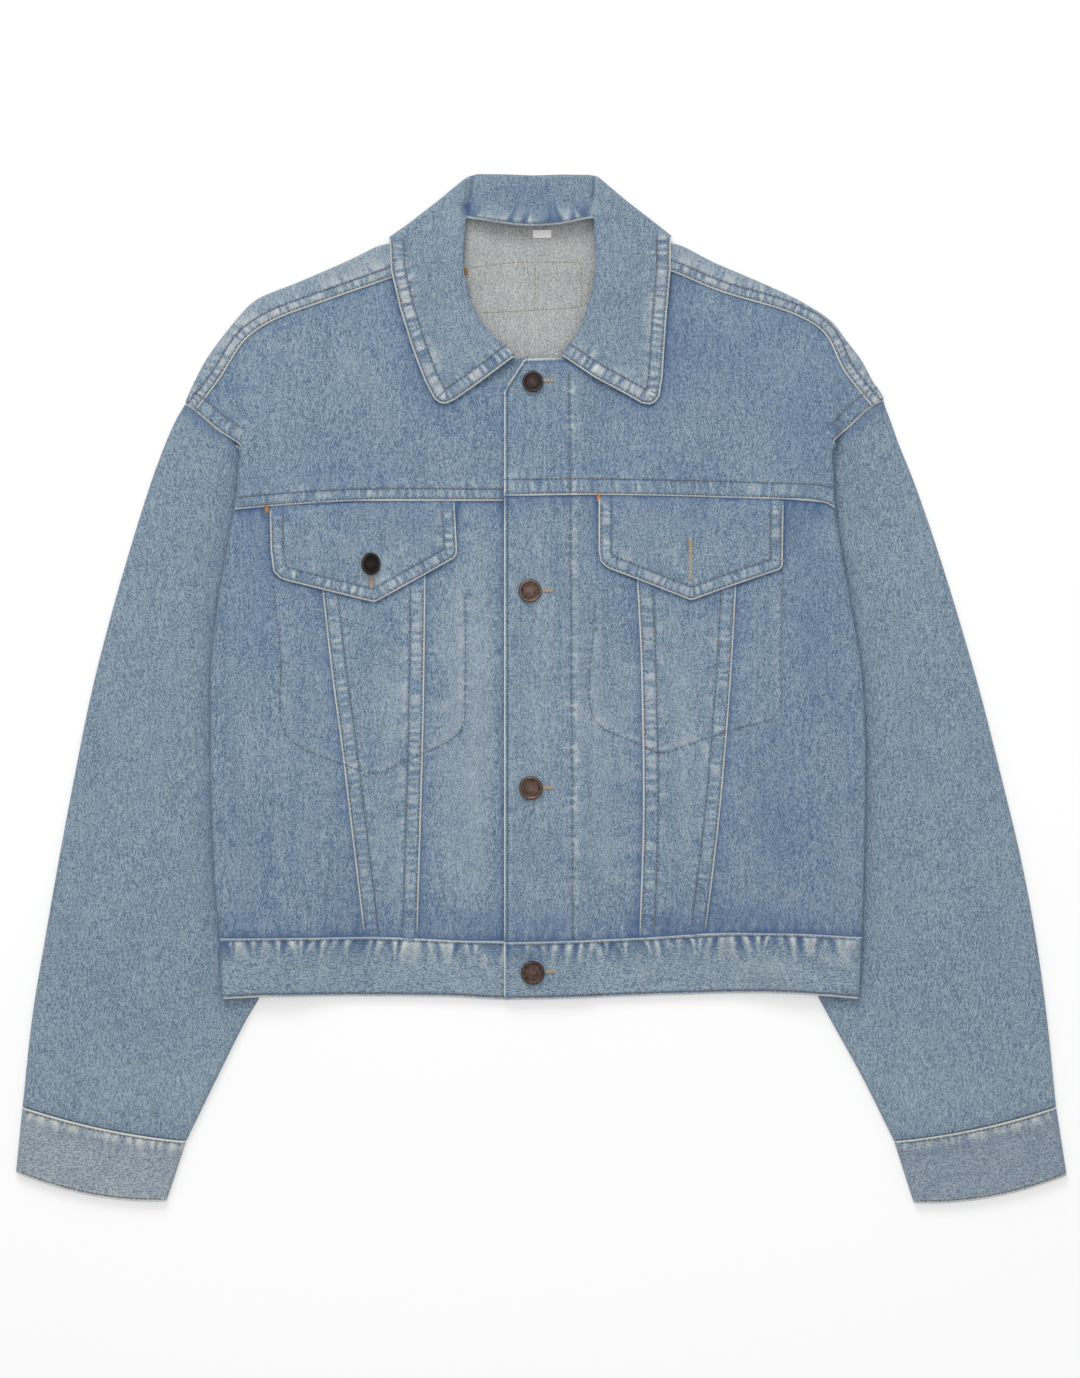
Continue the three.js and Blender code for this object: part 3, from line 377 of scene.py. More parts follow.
def back_outside(x, y):
    """Outer face of the back, just off the surface so that its seams can stand out from it."""
    return folded_side(x, y, back_face(x, y) - FALL_SNUG * over_fall(x, y) + BACK_CLEAR, -1)


def collar_level(x, y):
    """Height of the collar before its top is folded: leaves on the fronts, stand low behind."""
    placket = plateau(x, *LEAF_ON_PLACKET) * (GAP + DOUBLE)
    leaf = FLAT + FALL_LIFT * rise(*LEAF_RISE, y) + placket + GAP + REST + FALL_THICK
    return mix(leaf, STAND_TOP, plateau(x, *STAND_SIDES) * rise(*STAND_RISE, y))


def collar_face(x, y):
    """Upper face of the collar, rolled down on a quarter ellipse to the fold along its top."""
    past, _ = past_collar_fold(x, y)
    return collar_level(x, y) / 2 * (1 + np.sqrt(1 - past**2))


def past_collar_fold(x, y):
    """How far round the fold along the collar's top a place lies, 0 to 1, and the top's height."""
    across, up = np.array(COLLAR_TOP, float).T
    top = np.interp(x, across, up)
    slant = (np.interp(x + 2, across, up) - np.interp(x - 2, across, up)) / 4
    depth = FOLD_DEPTH * np.minimum(np.hypot(1, slant), COLLAR_STEEPEST)
    return np.clip(1 - (top - y) / depth, 0, 1), top


def fall_face(x, y):
    """Outer face of the collar's fall, flat on the surface and rolled up to the fold."""
    past, top = past_collar_fold(x, y)
    return BACK_CLEAR + collar_level(x, top) / 2 * (1 - np.sqrt(1 - past**2))


# Relief beside a seam, in mm, and how much paler a crease's ridge wears for each mm of its height,
# and how much darker its trough is, as painted shade. Wear, with painted shade, runs from -1, dark blue, to
# 1, cream.
EDGE_LIFT = 0.8
UNDER_DROP = 0.5
PUCKER_PITCH = 5.0
CREASE_WEAR_AND_SHADE = 0.2


def bell(value, middle, width):
    """1 at the middle, falling off as e to the minus square of the distance over the width."""
    return np.exp(-(((value - middle) / width) ** 2))


def seam_shape(kind, off, run, width, seed, strength):
    """Relief and wear of the cloth at a distance off a seam, positive into the piece.
    over: the edge lies on top, raised and rolled, with a puckered band to a second row of
    stitches at the width. edge: the same without the raise. top: one row of stitches, its puckers
    running out into the cloth, which is pale as far as the width. under: the cloth passes beneath
    its neighbour, rippled, and darkened by painted shadow along the neighbour's edge.
    line: stitches in the middle of the cloth. roll: a soft rounded turn. fold: a sharp crease, paler beside
    it and darkened in it by painted shade.
    beside: painted shadow on the cloth where another piece lies on it."""
    inward = np.maximum(off, 0)
    slow = ripple(run, 31.0, seed + 7)
    slant = 0.25 * ripple(run, 17.0, seed + 9)
    pucker = ripple(run + slant * off, PUCKER_PITCH, seed) * (0.8 + 0.3 * slow)
    long_pucker = ripple(run + 2 * slant * off, PUCKER_PITCH * 1.6, seed + 3)
    if kind == "roll":
        return -width * (1 - np.clip(off / 6, 0, 1)) ** 2, -0.22 * np.exp(-inward / 3)
    if kind == "fold":
        step = 0.9 * rise(-0.4, 0.8, off) - 0.9 * bell(off, -0.6, 1.2)
        # The dark line in the crease is painted shade; the pale band beside it is wear.
        return step, strength * (0.3 * bell(off, 2.0, 1.2) - 0.95 * bell(off, -0.4, 1.2))
    if kind == "beside":
        # All of this darkening is painted shadow cast by the piece lying beside.
        return 0 * off, -strength * (0.85 * np.exp(-inward / 1.3) + 0.25 * np.exp(-inward / 6.0))
    if kind == "under":
        fade = np.exp(-inward / 8)
        height = -UNDER_DROP * (1 - rise(1, 5, off)) + 0.26 * strength * long_pucker * fade
        # The darkening here is painted shadow along the neighbour's edge; the ripples are the seam's puckers.
        deep = -0.7 * np.exp(-inward / 1.8) - 0.4 * np.exp(-inward / (8 + 3 * slow)) * (1 + 0.4 * slow)
        return height, strength * (deep + 0.55 * long_pucker * fade * rise(0.5, 2.5, off))
    if kind == "line":
        near = bell(off, 0, 5.5)
        height = -0.35 * bell(off, 0, 1.1) + 0.16 * strength * pucker * near
        wear_and_shade = (0.42 * bell(off, 2.6, 1.8) * (0.7 + 0.5 * slow) - 0.45 * bell(off, 0, 1.0)
                + 0.35 * pucker * near)
        return height, strength * wear_and_shade
    rolled = 0.55 * (1 - np.clip(off / 0.9, 0, 1)) ** 2
    edge = (1 - rise(0.8, 1.6, off)) * (0.88 + 0.12 * slow)
    if kind == "top":
        fade = rise(1.6, 3.0, off) * np.exp(-np.maximum(off - 3, 0) / (8 + 3 * slow))
        row = bell(off, 2.0, 0.6)
        height = (EDGE_LIFT * (1 - rise(6, 14, off)) - rolled - 0.24 * row
                  + 0.4 * strength * long_pucker * fade)
        pale = np.where(long_pucker > 0, 0.5, 0.75) * long_pucker
        turned = 0.38 * (1 - rise(0.6 * width, 1.2 * width, off)) if width else 0.0
        return height, 0.55 * edge - 0.5 * row + turned + strength * fade * (pale - 0.04)
    lift, ground, contrast = (EDGE_LIFT, 0.08, 0.5) if kind == "over" else (0.0, 0.07, 0.8)
    middle, half = (2.2 + width) / 2, max(width - 2.0, 1.0) / 2
    oval = np.sqrt(np.clip(1 - ((off - middle) / half) ** 2, 0, 1))
    rows = bell(off, FIRST_ROW, 0.55) + bell(off, width, 0.7)
    past = rise(width + 0.2, width + 1.2, off) * np.exp(-np.maximum(off - width, 0) / (5 + 2 * slow))
    height = lift * (1 - rise(width, width + 6, off)) - rolled - 0.26 * rows + 0.4 * strength * oval * pucker
    deep = 0.3 + 0.6 * contrast
    blobs = np.where(pucker > 0, contrast * oval**1.5, deep * oval**0.3) * pucker + ground * oval**0.3
    return height, edge - 0.55 * rows + strength * (blobs + past * (0.5 * long_pucker + 0.06))


def crease_shape(crease, places):
    """A soft trough or ridge along a line, deepest in its middle and faded out at its ends."""
    line, width, height = crease
    path = smooth_line(line, 6)
    run, off, _ = off_line(path, places)
    length = np.linalg.norm(np.diff(path, axis=0), axis=1).sum()
    ends = rise(0, 0.3 * length, run) * (1 - rise(0.7 * length, length, run))
    return height * np.exp(-((off / width) ** 2)) * ends


# Creases laid on the body: line in plan, half width and height (below 0 for a trough).
BODY_CREASES = [
    ([(-205, 172), (-196, 120), (-192, 60), (-200, -20)], 9, -0.7),
    ([(-222, 60), (-212, -20), (-205, -110), (-208, -165)], 7, 0.6),
    ([(-176, 20), (-168, -40), (-166, -110), (-172, -160)], 8, -0.5),
    ([(-150, 250), (-120, 210), (-100, 165)], 12, 0.5),
    ([(-60, 60), (-54, 0), (-58, -80), (-50, -150)], 8, -0.45),
    ([(-110, 40), (-106, -30), (-112, -100), (-104, -160)], 7, 0.5),
    ([(198, 172), (190, 120), (186, 50), (196, -30)], 9, -0.7),
    ([(214, 40), (206, -40), (210, -120), (203, -168)], 7, 0.6),
    ([(170, 0), (160, -70), (166, -150)], 9, -0.5),
    ([(152, 245), (118, 200), (104, 160)], 12, 0.5),
    ([(50, 110), (46, 40), (52, -60), (44, -150)], 8, -0.45),
    ([(104, 40), (98, -40), (102, -120), (94, -165)], 7, 0.5),
    ([(0, 190), (-4, 120), (2, 40), (-3, -60), (3, -150)], 7, 0.35),
    ([(172, -177), (184, -188), (208, -199)], 2.6, -1.1), ([(178, -176), (192, -186), (216, -194)], 2.4, 0.9),
    ([(205, -176), (212, -186), (219, -198)], 2.6, 0.9), ([(18, -182), (24, -192), (22, -206)], 3, -0.7),
    ([(60, -178), (70, -196), (66, -212)], 4, 0.5),
    ([(-160, -178), (-152, -196), (-158, -212)], 4, 0.5),
]

# Soft clouds of wear over the body: place, reach across and up, and how pale (or deep) it goes.
BODY_FADES = [
    (-75, 225, 25, 45, -0.22), (-150, 152, 70, 15, -0.14), (-190, 245, 30, 22, 0.08),
    (-150, 215, 30, 30, 0.07),
    (120, 225, 60, 45, -0.15), (188, 190, 22, 50, -0.2), (70, 152, 60, 13, -0.14), (60, 205, 22, 40, -0.1),
    (2, 205, 20, 30, -0.12), (172, -95, 34, 65, -0.22), (196, 50, 18, 60, -0.15), (-208, 70, 16, 60, -0.15),
    (-196, -120, 26, 45, -0.07), (-118, 0, 24, 60, 0.04), (100, 20, 24, 60, 0.08), (-55, -30, 32, 150, 0.24),
    (50, -30, 27, 130, 0.15), (-2, 0, 22, 120, 0.05), (-60, -156, 60, 12, -0.12), (122, -155, 60, 13, -0.16),
    (-125, 95, 40, 20, 0.12), (110, 100, 40, 16, 0.06), (-120, -195, 90, 14, 0.05), (160, -192, 30, 12, 0.14),
    (-140, 126, 60, 6, -0.25), (110, 127, 50, 6, -0.3), (-215, -60, 10, 90, -0.12), (212, -60, 10, 90, -0.16),
    (-95, 270, 14, 26, -0.15), (96, 262, 14, 40, -0.18), (-75, 118, 14, 12, -0.35), (160, 112, 14, 20, -0.3),
    (-168, 105, 14, 16, -0.2), (55, 118, 12, 12, -0.25), (10, -165, 12, 10, -0.35), (-10, -190, 10, 8, -0.3),
    (120, 245, 60, 18, -0.1), (-130, 258, 40, 12, -0.1), (-60, -160, 50, 9, -0.2), (90, -162, 24, 8, -0.35),
    (-205, -155, 14, 12, -0.2), (150, -160, 30, 8, -0.2), (110, -194, 90, 12, 0.07),
    (-130, 200, 60, 40, -0.05), (130, 215, 50, 40, -0.05),
]


def faded(fades, x, y):
    """Sum of the soft clouds, each a bell across and up."""
    return sum(amount * np.exp(-(((x - px) / rx) ** 2) - ((y - py) / ry) ** 2)
               for px, py, rx, ry, amount in fades)


def between(curve, low, high, spacing=2.0, upright=False):
    """Points of a curve between two places, as (place, value) or, upright, (value, place)."""
    place = np.linspace(low, high, max(2, int(abs(high - low) / spacing) + 1))
    value = curve(place)
    return np.column_stack([value, place] if upright else [place, value])


def four_sided(left, right, bottom, top):
    """Outline of a panel between two curves across (x for each y) and two along (y for each x)."""
    corners = []
    for across in (left, right):
        for along in (bottom, top):
            y = float(along(across(0.0)))
            for _ in range(6):
                y = float(along(across(y)))
            corners.append((float(across(y)), y))
    low_left, high_left, low_right, high_right = corners
    parts = [between(bottom, low_left[0], low_right[0]),
             between(right, low_right[1], high_right[1], upright=True),
             between(top, high_right[0], high_left[0]),
             between(left, high_left[1], low_left[1], upright=True)]
    return np.concatenate([part[:-1] for part in parts])


def shifted(curve, by):
    """The same curve with an amount added to its value."""
    return lambda place: curve(place) + by


def steady(value):
    """A curve that has the same value everywhere."""
    return lambda place: np.asarray(place, float) * 0 + value


def area_of(ring):
    """Area of a closed ring, above 0 if it runs anticlockwise: half the sum of the cross
    products of each corner with the next."""
    x, y = ring[:, 0], ring[:, 1]
    return 0.5 * float((x * np.roll(y, -1) - np.roll(x, -1) * y).sum())


def inside(ring, places):
    """True for places inside a closed ring: an odd number of its sides lies to their east."""
    a, b = ring, np.roll(ring, -1, axis=0)
    x, y = places[:, 0:1], places[:, 1:2]
    spans = (a[:, 1] > y) != (b[:, 1] > y)
    rise_by = np.where(b[:, 1] == a[:, 1], 1e-12, b[:, 1] - a[:, 1])
    return (spans & (x < a[:, 0] + (y - a[:, 1]) / rise_by * (b[:, 0] - a[:, 0]))).sum(1) % 2 == 1


def in_blocks(work, places, size=3000):
    """Runs work on the places a block at a time, to keep its arrays small."""
    parts = [work(places[i:i + size]) for i in range(0, len(places), size)]
    if isinstance(parts[0], tuple):
        return tuple(np.concatenate(column) for column in zip(*parts))
    return np.concatenate(parts)


# Rows of points inside a cloth's outline: how deep each lies, and their steps along the outline.
FINE_RINGS = (0.3, 0.8, 1.5, 2.4, 3.6, 4.8, 6.0, 7.2, 8.4, 9.6, 11.0, 12.6)
OUTLINE_STEP = 1.7
FILL_SPACING = 3.4
SEAM_REACH = (15, 22)
SEAM_PAST = (0, 4)


def filled(ring, spacing, rings, step):
    """Triangles over a plan outline: rows of points at set distances inside it, then an even
    staggered fill, joined by Delaunay's rule."""
    ring = even_line(np.vstack([ring, ring[:1]]), step)[:-1]
    if area_of(ring) < 0:
        ring = ring[::-1]
    ahead = np.roll(ring, -1, axis=0) - np.roll(ring, 1, axis=0)
    inward = np.column_stack([-ahead[:, 1], ahead[:, 0]]) / np.linalg.norm(ahead, axis=1)[:, None]
    closed = np.vstack([ring, ring[:1]])
    points = [ring]
    for k, depth in enumerate(rings):
        row = ring + inward * depth
        if k % 2:
            row = (row + np.roll(row, -1, axis=0)) / 2
        gap = np.abs(in_blocks(lambda p: off_line(closed, p), row)[1])
        points.append(row[(gap > 0.93 * depth) & in_blocks(lambda p: inside(ring, p), row)])
    low, high = ring.min(0), ring.max(0)
    rows = np.arange(low[1], high[1], spacing * math.sqrt(0.75))
    columns = np.arange(low[0], high[0], spacing)
    x, y = np.meshgrid(columns, rows)
    x = x + (np.arange(len(rows)) % 2)[:, None] * spacing / 2
    fill = np.column_stack([x.ravel(), y.ravel()])
    fill = fill[in_blocks(lambda p: inside(ring, p), fill)]
    coarse = closed[::2] if len(closed) % 2 else closed
    gap = np.abs(in_blocks(lambda p: off_line(coarse, p), fill)[1])
    points.append(fill[gap > rings[-1] + 0.6 * spacing])
    flat = np.vstack(points)
    count = len(ring)
    sides = [(i, (i + 1) % count) for i in range(count)]
    made, _, faces, _, _, _ = delaunay_2d_cdt([tuple(p) for p in flat.tolist()], sides, [], 1, 1e-5)
    return np.array([(p[0], p[1]) for p in made]), np.array(faces, int)


def raised(patch, places):
    """Height, and wear with painted shade, of a patch of cloth at places in plan. Each of its
    seams is a row: line, the side of it that the cloth lies on (1 is the left), kind, width of
    the band, seed of its puckers, and strength."""
    x, y = places[:, 0], places[:, 1]
    height = patch["face"](x, y)
    wear_and_shade = np.zeros(len(places))
    turn = patch.get("turn", 1)
    for line, way, kind, width, seed, strength in patch.get("seams", []):
        run, off, past = in_blocks(lambda p: off_line(line, p), places)
        relief, wash_and_shade = seam_shape(kind, off * way, run, width, seed, strength)
        near = (1 - rise(*SEAM_REACH, np.abs(off))) * (1 - rise(*SEAM_PAST, past))
        if kind != "line":
            near = near * rise(-1.0, -0.2, off * way)
        height = height + turn * relief * near
        wear_and_shade = wear_and_shade + wash_and_shade * near
    for crease in patch.get("creases", []):
        shape = crease_shape(crease, places)
        height = height + turn * shape
        # A crease's ridge is paler as wear, and its trough darker as painted shade.
        wear_and_shade = wear_and_shade + CREASE_WEAR_AND_SHADE * shape
    height = np.maximum(height, LOWEST)
    return height, wear_and_shade + patch.get("worn", 0.0) + faded(patch.get("fades", []), x, y)


def mesh_of(name, vertices, faces, wear_and_shade, materials):
    """A smooth mesh in metres from places in millimetres, with the wear and painted shade of each, in the
    scene.
    """
    mesh = bpy.data.meshes.new(name)
    mesh.from_pydata((vertices * METRES).tolist(), [], faces.tolist() if hasattr(faces, "tolist") else faces)
    mesh.attributes.new("wear_and_shade", "FLOAT", "POINT").data.foreach_set("value", np.asarray(wear_and_shade, np.float32))
    mesh.polygons.foreach_set("use_smooth", np.ones(len(mesh.polygons), bool))
    for material in materials:
        mesh.materials.append(material)
    mesh.update()
    piece = bpy.data.objects.new(name, mesh)
    bpy.context.collection.objects.link(piece)
    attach(piece, "root")
    return piece


def thicken(piece, thickness):
    """Gives a sheet its thickness, on the side away from its outer face; the new side takes the
    second material, if there is one."""
    shell = piece.modifiers.new("cloth thickness", "SOLIDIFY")
    shell.thickness = thickness * METRES
    shell.offset = -1
    shell.material_offset = len(piece.data.materials) - 1
    return piece


def cloth(name, patches, node, materials, thickness=ONE_LAYER):
    """One piece of cloth from its patches, each laid on its own face."""
    vertices, faces, wear_and_shade, start = [], [], [], 0
    for patch in patches:
        spacing = patch.get("spacing", FILL_SPACING)
        flat, triangles = filled(patch["outline"], spacing, FINE_RINGS, OUTLINE_STEP)
        height, wash_and_shade = raised(patch, flat)
        vertices.append(np.column_stack([flat, height]))
        faces.append((triangles if patch.get("turn", 1) > 0 else triangles[:, ::-1]) + start)
        wear_and_shade.append(wash_and_shade)
        start += len(flat)
    piece = mesh_of(name, np.vstack(vertices), np.vstack(faces), np.concatenate(wear_and_shade), materials)
    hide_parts(node)
    return thicken(piece, thickness)


def node_at(tree, kind, **inputs):
    """A shader node with its sockets set: a number or colour as it is, a socket as a link."""
    node = tree.nodes.new(kind)
    for key, value in inputs.items():
        socket = node.inputs[int(key[1:])] if key[0] == "n" and key[1:].isdigit() else node.inputs[key]
        if isinstance(value, bpy.types.NodeSocket):
            tree.links.new(value, socket)
        else:
            socket.default_value = value
    return node


def scaled(tree, source, across, along, up):
    """Coordinates stretched by a factor each way."""
    node = node_at(tree, "ShaderNodeMapping", Vector=source)
    node.inputs["Scale"].default_value = (across, along, up)
    return node.outputs["Vector"]


def noise(tree, source, scale, detail=2.0, rough=0.5):
    """Soft noise, its scale in spots for each metre."""
    node = node_at(tree, "ShaderNodeTexNoise", Vector=source, Scale=scale, Detail=detail, Roughness=rough)
    return node.outputs[0]


def number(tree, work, a, b):
    """Two numbers put together: ADD or MULTIPLY."""
    node = node_at(tree, "ShaderNodeMath", n0=a, n1=b)
    node.operation = work
    return node.outputs[0]


def reach(tree, value, low, high, to_low=0.0, to_high=1.0):
    """A value carried from one range to another, and kept inside it."""
    return node_at(tree, "ShaderNodeMapRange", n0=value, n1=low, n2=high, n3=to_low, n4=to_high).outputs[0]


def blend(tree, share, a, b):
    """A colour the given share of the way from a to b."""
    node = tree.nodes.new("ShaderNodeMix")
    node.data_type = "RGBA"
    for socket, value in ((node.inputs[0], share), (node.inputs[6], a), (node.inputs[7], b)):
        if isinstance(value, bpy.types.NodeSocket):
            tree.links.new(value, socket)
        else:
            socket.default_value = value
    return node.outputs[2]


def new_material(name, roughness):
    """A new material, its tree and its shader."""
    material = bpy.data.materials.new(name)
    material.use_nodes = True
    shader = material.node_tree.nodes["Principled BSDF"]
    shader.inputs["Roughness"].default_value = roughness
    return material, material.node_tree, shader


def place_and_wear_with_shade(tree):
    """The piece's own coordinates, and the wear and painted shade of each place on it."""
    wear_and_shade = tree.nodes.new("ShaderNodeAttribute")
    wear_and_shade.attribute_name = "wear_and_shade"
    return tree.nodes.new("ShaderNodeTexCoord").outputs["Object"], wear_and_shade.outputs["Fac"]


def bumped(tree, shader, height, strength, depth):
    """Relief too fine for the mesh: its height, strength and depth in metres."""
    bump = node_at(tree, "ShaderNodeBump", Strength=strength, Distance=depth, Height=height)
    tree.links.new(bump.outputs[0], shader.inputs["Normal"])


# Layers of denim's tone, each a noise: spots for each metre, detail, roughness, and the part of
# its range that is used. Then how far the layers swing the tone.
GRAIN = (1400, 2.0, 0.8, 0.34, 0.66)
SLUB = (850, 2.0, 0.6, 0.3, 0.7)
CLOUD = (24, 4.0, 0.6, 0.32, 0.68)
STREAK = (210, 3.0, 0.6, 0.3, 0.7)
GRAIN_SWING = 0.68
SLUB_SWING = 0.28
STREAK_SHARE = 0.8
# Wear and painted shade that count as none, full and pale, and how far they then turn the cloth dark or pale.
DARK_WEAR_AND_SHADE = (0.0, -1.0, 0.0, 0.9)
PALE_WEAR = (0.03, 1.0, 0.0, 0.92)
# Twill: bands for each metre, how much they wander, stretch along and up, share in the relief.
TWILL_BANDS = 330
TWILL_WANDER = 1.2
TWILL_STRETCH = (0.8 / 0.62, 0.4)
TWILL_SHARE = 0.4
DENIM_RELIEF = (0.5, 0.0004)
SHEEN = {"Sheen Weight": 0.1, "Sheen Roughness": 0.6}
LENGTHWISE = (1.0, 0.62)
CROSSWISE = (0.5, 1.0)


def toned(tree, source, layer, swing):
    """One layer's noise, and its shift of the tone, from swing below to swing above."""
    fineness, detail, rough, low, high = layer
    value = noise(tree, source, fineness, detail, rough)
    return value, reach(tree, value, low, high, -swing, swing)


def denim_material(name, light, deep, dark_and_shade, worn, thread=LENGTHWISE, clouds=0.11):
    """Washed denim: fine grain and short slubs along the cloth's own thread, slow cloudy fading,
    a diagonal twill in the relief, and the wear and painted shade of each place from the cloth's own
    attribute."""
    material, tree, shader = new_material(name, 0.92)
    place, wear_and_shade = place_and_wear_with_shade(tree)
    across, along = thread
    grain, tone = toned(tree, scaled(tree, place, across, 0.75 * along, 1), GRAIN, GRAIN_SWING)
    for source, layer, swing in ((scaled(tree, place, across, along**4, 1), SLUB, SLUB_SWING),
                                 (place, CLOUD, clouds),
                                 (scaled(tree, place, across, along**6, 1), STREAK, STREAK_SHARE * clouds)):
        tone = number(tree, "ADD", tone, toned(tree, source, layer, swing)[1])
    washed = blend(tree, number(tree, "ADD", tone, 0.5), deep, light)
    down = blend(tree, reach(tree, wear_and_shade, *DARK_WEAR_AND_SHADE), washed, dark_and_shade)
    tree.links.new(blend(tree, reach(tree, wear_and_shade, *PALE_WEAR), down, worn), shader.inputs["Base Color"])
    stretch, up = TWILL_STRETCH
    twill = node_at(tree, "ShaderNodeTexWave", Vector=scaled(tree, place, across, stretch * along, up),
                    Scale=TWILL_BANDS, Distortion=TWILL_WANDER)
    twill.bands_direction = "DIAGONAL"
    height = number(tree, "ADD", number(tree, "MULTIPLY", twill.outputs["Fac"], TWILL_SHARE), grain)
    bumped(tree, shader, height, *DENIM_RELIEF)
    for socket, value in SHEEN.items():
        shader.inputs[socket].default_value = value
    return material


def thread_material(name, colour, darker):
    """Thread or tape in two close tones."""
    material, tree, shader = new_material(name, 0.7)
    share = reach(tree, noise(tree, place_and_wear_with_shade(tree)[0], 900, 1.0), 0.3, 0.7)
    tree.links.new(blend(tree, share, darker, colour), shader.inputs["Base Color"])
    return material


# Antique metal: its patches' noise, the roughness of dull and bright patches, and its relief.
PATCHES = (420, 3.0, 0.6)
PATCH_RANGE = (0.3, 0.75)
DULL_TO_BRIGHT = (0.5, 0.33)
PITS = 1600
METAL_RELIEF = (0.35, 0.0002)


def metal_material(name, hollow, base_tone, bright):
    """Antique metal: dark in the hollows, brighter on the raised rim and where it is rubbed."""
    material, tree, shader = new_material(name, 0.42)
    place, wear_and_shade = place_and_wear_with_shade(tree)
    patch = reach(tree, noise(tree, place, *PATCHES), *PATCH_RANGE)
    rubbed = blend(tree, reach(tree, wear_and_shade, 0.0, 1.0), blend(tree, patch, hollow, base_tone), bright)
    tree.links.new(rubbed, shader.inputs["Base Color"])
    tree.links.new(reach(tree, patch, 0.0, 1.0, *DULL_TO_BRIGHT), shader.inputs["Roughness"])
    shader.inputs["Metallic"].default_value = 0.8
    bumped(tree, shader, noise(tree, place, PITS), *METAL_RELIEF)
    return material


# Colours, linear: where washed denim is worn through to, and the darkest it goes, worn least or under painted
# shade.
WORN = (0.60, 0.61, 0.575, 1)
DARK_AND_SHADE = (0.040, 0.086, 0.190, 1)
denim = denim_material("washed denim", (0.258, 0.332, 0.388, 1), (0.052, 0.104, 0.188, 1), DARK_AND_SHADE, WORN)
band_denim = denim_material("washed denim cut across", (0.285, 0.352, 0.395, 1), (0.068, 0.12, 0.190, 1),
                            DARK_AND_SHADE, WORN, CROSSWISE)
sleeve_denim = denim_material("washed denim sleeve", (0.274, 0.342, 0.390, 1), (0.067, 0.119, 0.191, 1),
                              DARK_AND_SHADE, WORN, clouds=0.06)
cuff_denim = denim_material("washed denim cuff", (0.345, 0.392, 0.42, 1), (0.118, 0.165, 0.212, 1),
                            DARK_AND_SHADE, WORN, CROSSWISE, 0.1)
wrong_side = denim_material("denim wrong side", (0.44, 0.45, 0.437, 1), (0.205, 0.224, 0.234, 1),
                            (0.2, 0.22, 0.24, 1), (0.55, 0.55, 0.53, 1))
tan_thread = thread_material("tan thread", (0.205, 0.168, 0.138, 1), (0.085, 0.076, 0.078, 1))
orange_thread = thread_material("orange thread", (0.50, 0.27, 0.12, 1), (0.30, 0.16, 0.08, 1))
straw_thread = thread_material("straw thread", (0.47, 0.38, 0.26, 1), (0.28, 0.24, 0.19, 1))
copper = metal_material("antique copper", (0.018, 0.012, 0.010, 1), (0.080, 0.048, 0.038, 1),
                        (0.30, 0.20, 0.16, 1))
dark_metal = metal_material("blackened metal", (0.006, 0.005, 0.005, 1), (0.024, 0.017, 0.015, 1),
                            (0.16, 0.12, 0.10, 1))
label_cloth = thread_material("label cloth", (0.78, 0.79, 0.78, 1), (0.68, 0.69, 0.68, 1))
CLOTH_SIDES = [denim, wrong_side]

yoke_lines = {side: smooth_line(YOKE_SEAMS[side], 5) for side in SIDES}
waist_lines = {side: smooth_line(WAIST_SEAMS[side], 5) for side in SIDES}
shoulder_lines = {side: smooth_line(SHOULDER_SEAMS[side], 4) for side in SIDES}
armhole_lines = {side: smooth_line(ARMHOLES[side], 3) for side in SIDES}
yoke_seam = {side: curve_of(YOKE_SEAMS[side]) for side in SIDES}
waist_seam = {side: curve_of(WAIST_SEAMS[side]) for side in SIDES}
vee_seam = {side: {part: curve_of(rows) for part, rows in VEE_SEAMS[side].items()} for side in SIDES}
back_yoke_seam = curve_of(BACK_YOKE_SEAM)
back_waist_seam = curve_of(BACK_WAIST_SEAM)
# Lowest edge of the waistband.
HEM_EDGE = [(-226, -216.2), (-186, -214.6), (-110, -214.6), (-62, -215.3), (-27, -217), (13, -216.4),
            (97, -213.6), (162, -212.3), (198, -214), (224, -216.2)]
hem_edge = curve_of(HEM_EDGE)
hem_line = between(hem_edge, -230, 226, 5)


def upright(curve, low, high, spacing=5):
    """Points of a curve of place across for each height, between two heights."""
    return between(curve, low, high, spacing, upright=True)


vee_lines = {side: {part: upright(curve, -186, 146) for part, curve in vee_seam[side].items()}
             for side in SIDES}
placket_edge_line = np.array([(PLACKET_EDGE, -220.0), (PLACKET_EDGE, 213.0)])
placket_corner_line = np.array([(PLACKET_EDGE, 208.0), (-24.0, 213.5), (-12.5, 231.0)])
placket_stitch_line = np.array([(PLACKET_STITCH + 1.2, -175.0), (PLACKET_STITCH, 60.0),
                                (PLACKET_STITCH - 1.6, 222.0)])
leaf_edges = {"west": even_line(COLLAR_LEAF_WEST, 3), "east": even_line(COLLAR_LEAF_EAST, 3)}
flap_edges = {side: even_line(points, 3) for side, points in FLAPS.items()}
bag_lines = {side: smooth_line(points, 4) for side, points in BAG_STITCHES.items()}


def front_patch(side, ring, seams, **more):
    """A patch that lies on one front, with the body's creases and fading."""
    return {"outline": ring, "face": lambda x, y: front_face(x, y, side), "seams": seams,
            "creases": BODY_CREASES, "fades": BODY_FADES, **more}


# Seams of the fronts. Each panel's list begins with the seams that cross it: yoke, waistband, the
# painted shadow round the flap that lies on it, and the stitches of the pocket bag.
front_ends = {"west": UNDERLAP_EDGE, "east": PLACKET_EDGE}
front_edges = {"west": [(UNDERLAP_EDGE, 226), (15, 232.4), *NECK_EDGES["west"][::-1]],
               "east": [(PLACKET_EDGE, 208), (-24, 213.5), (-12.5, 231), *NECK_EDGES["east"]]}
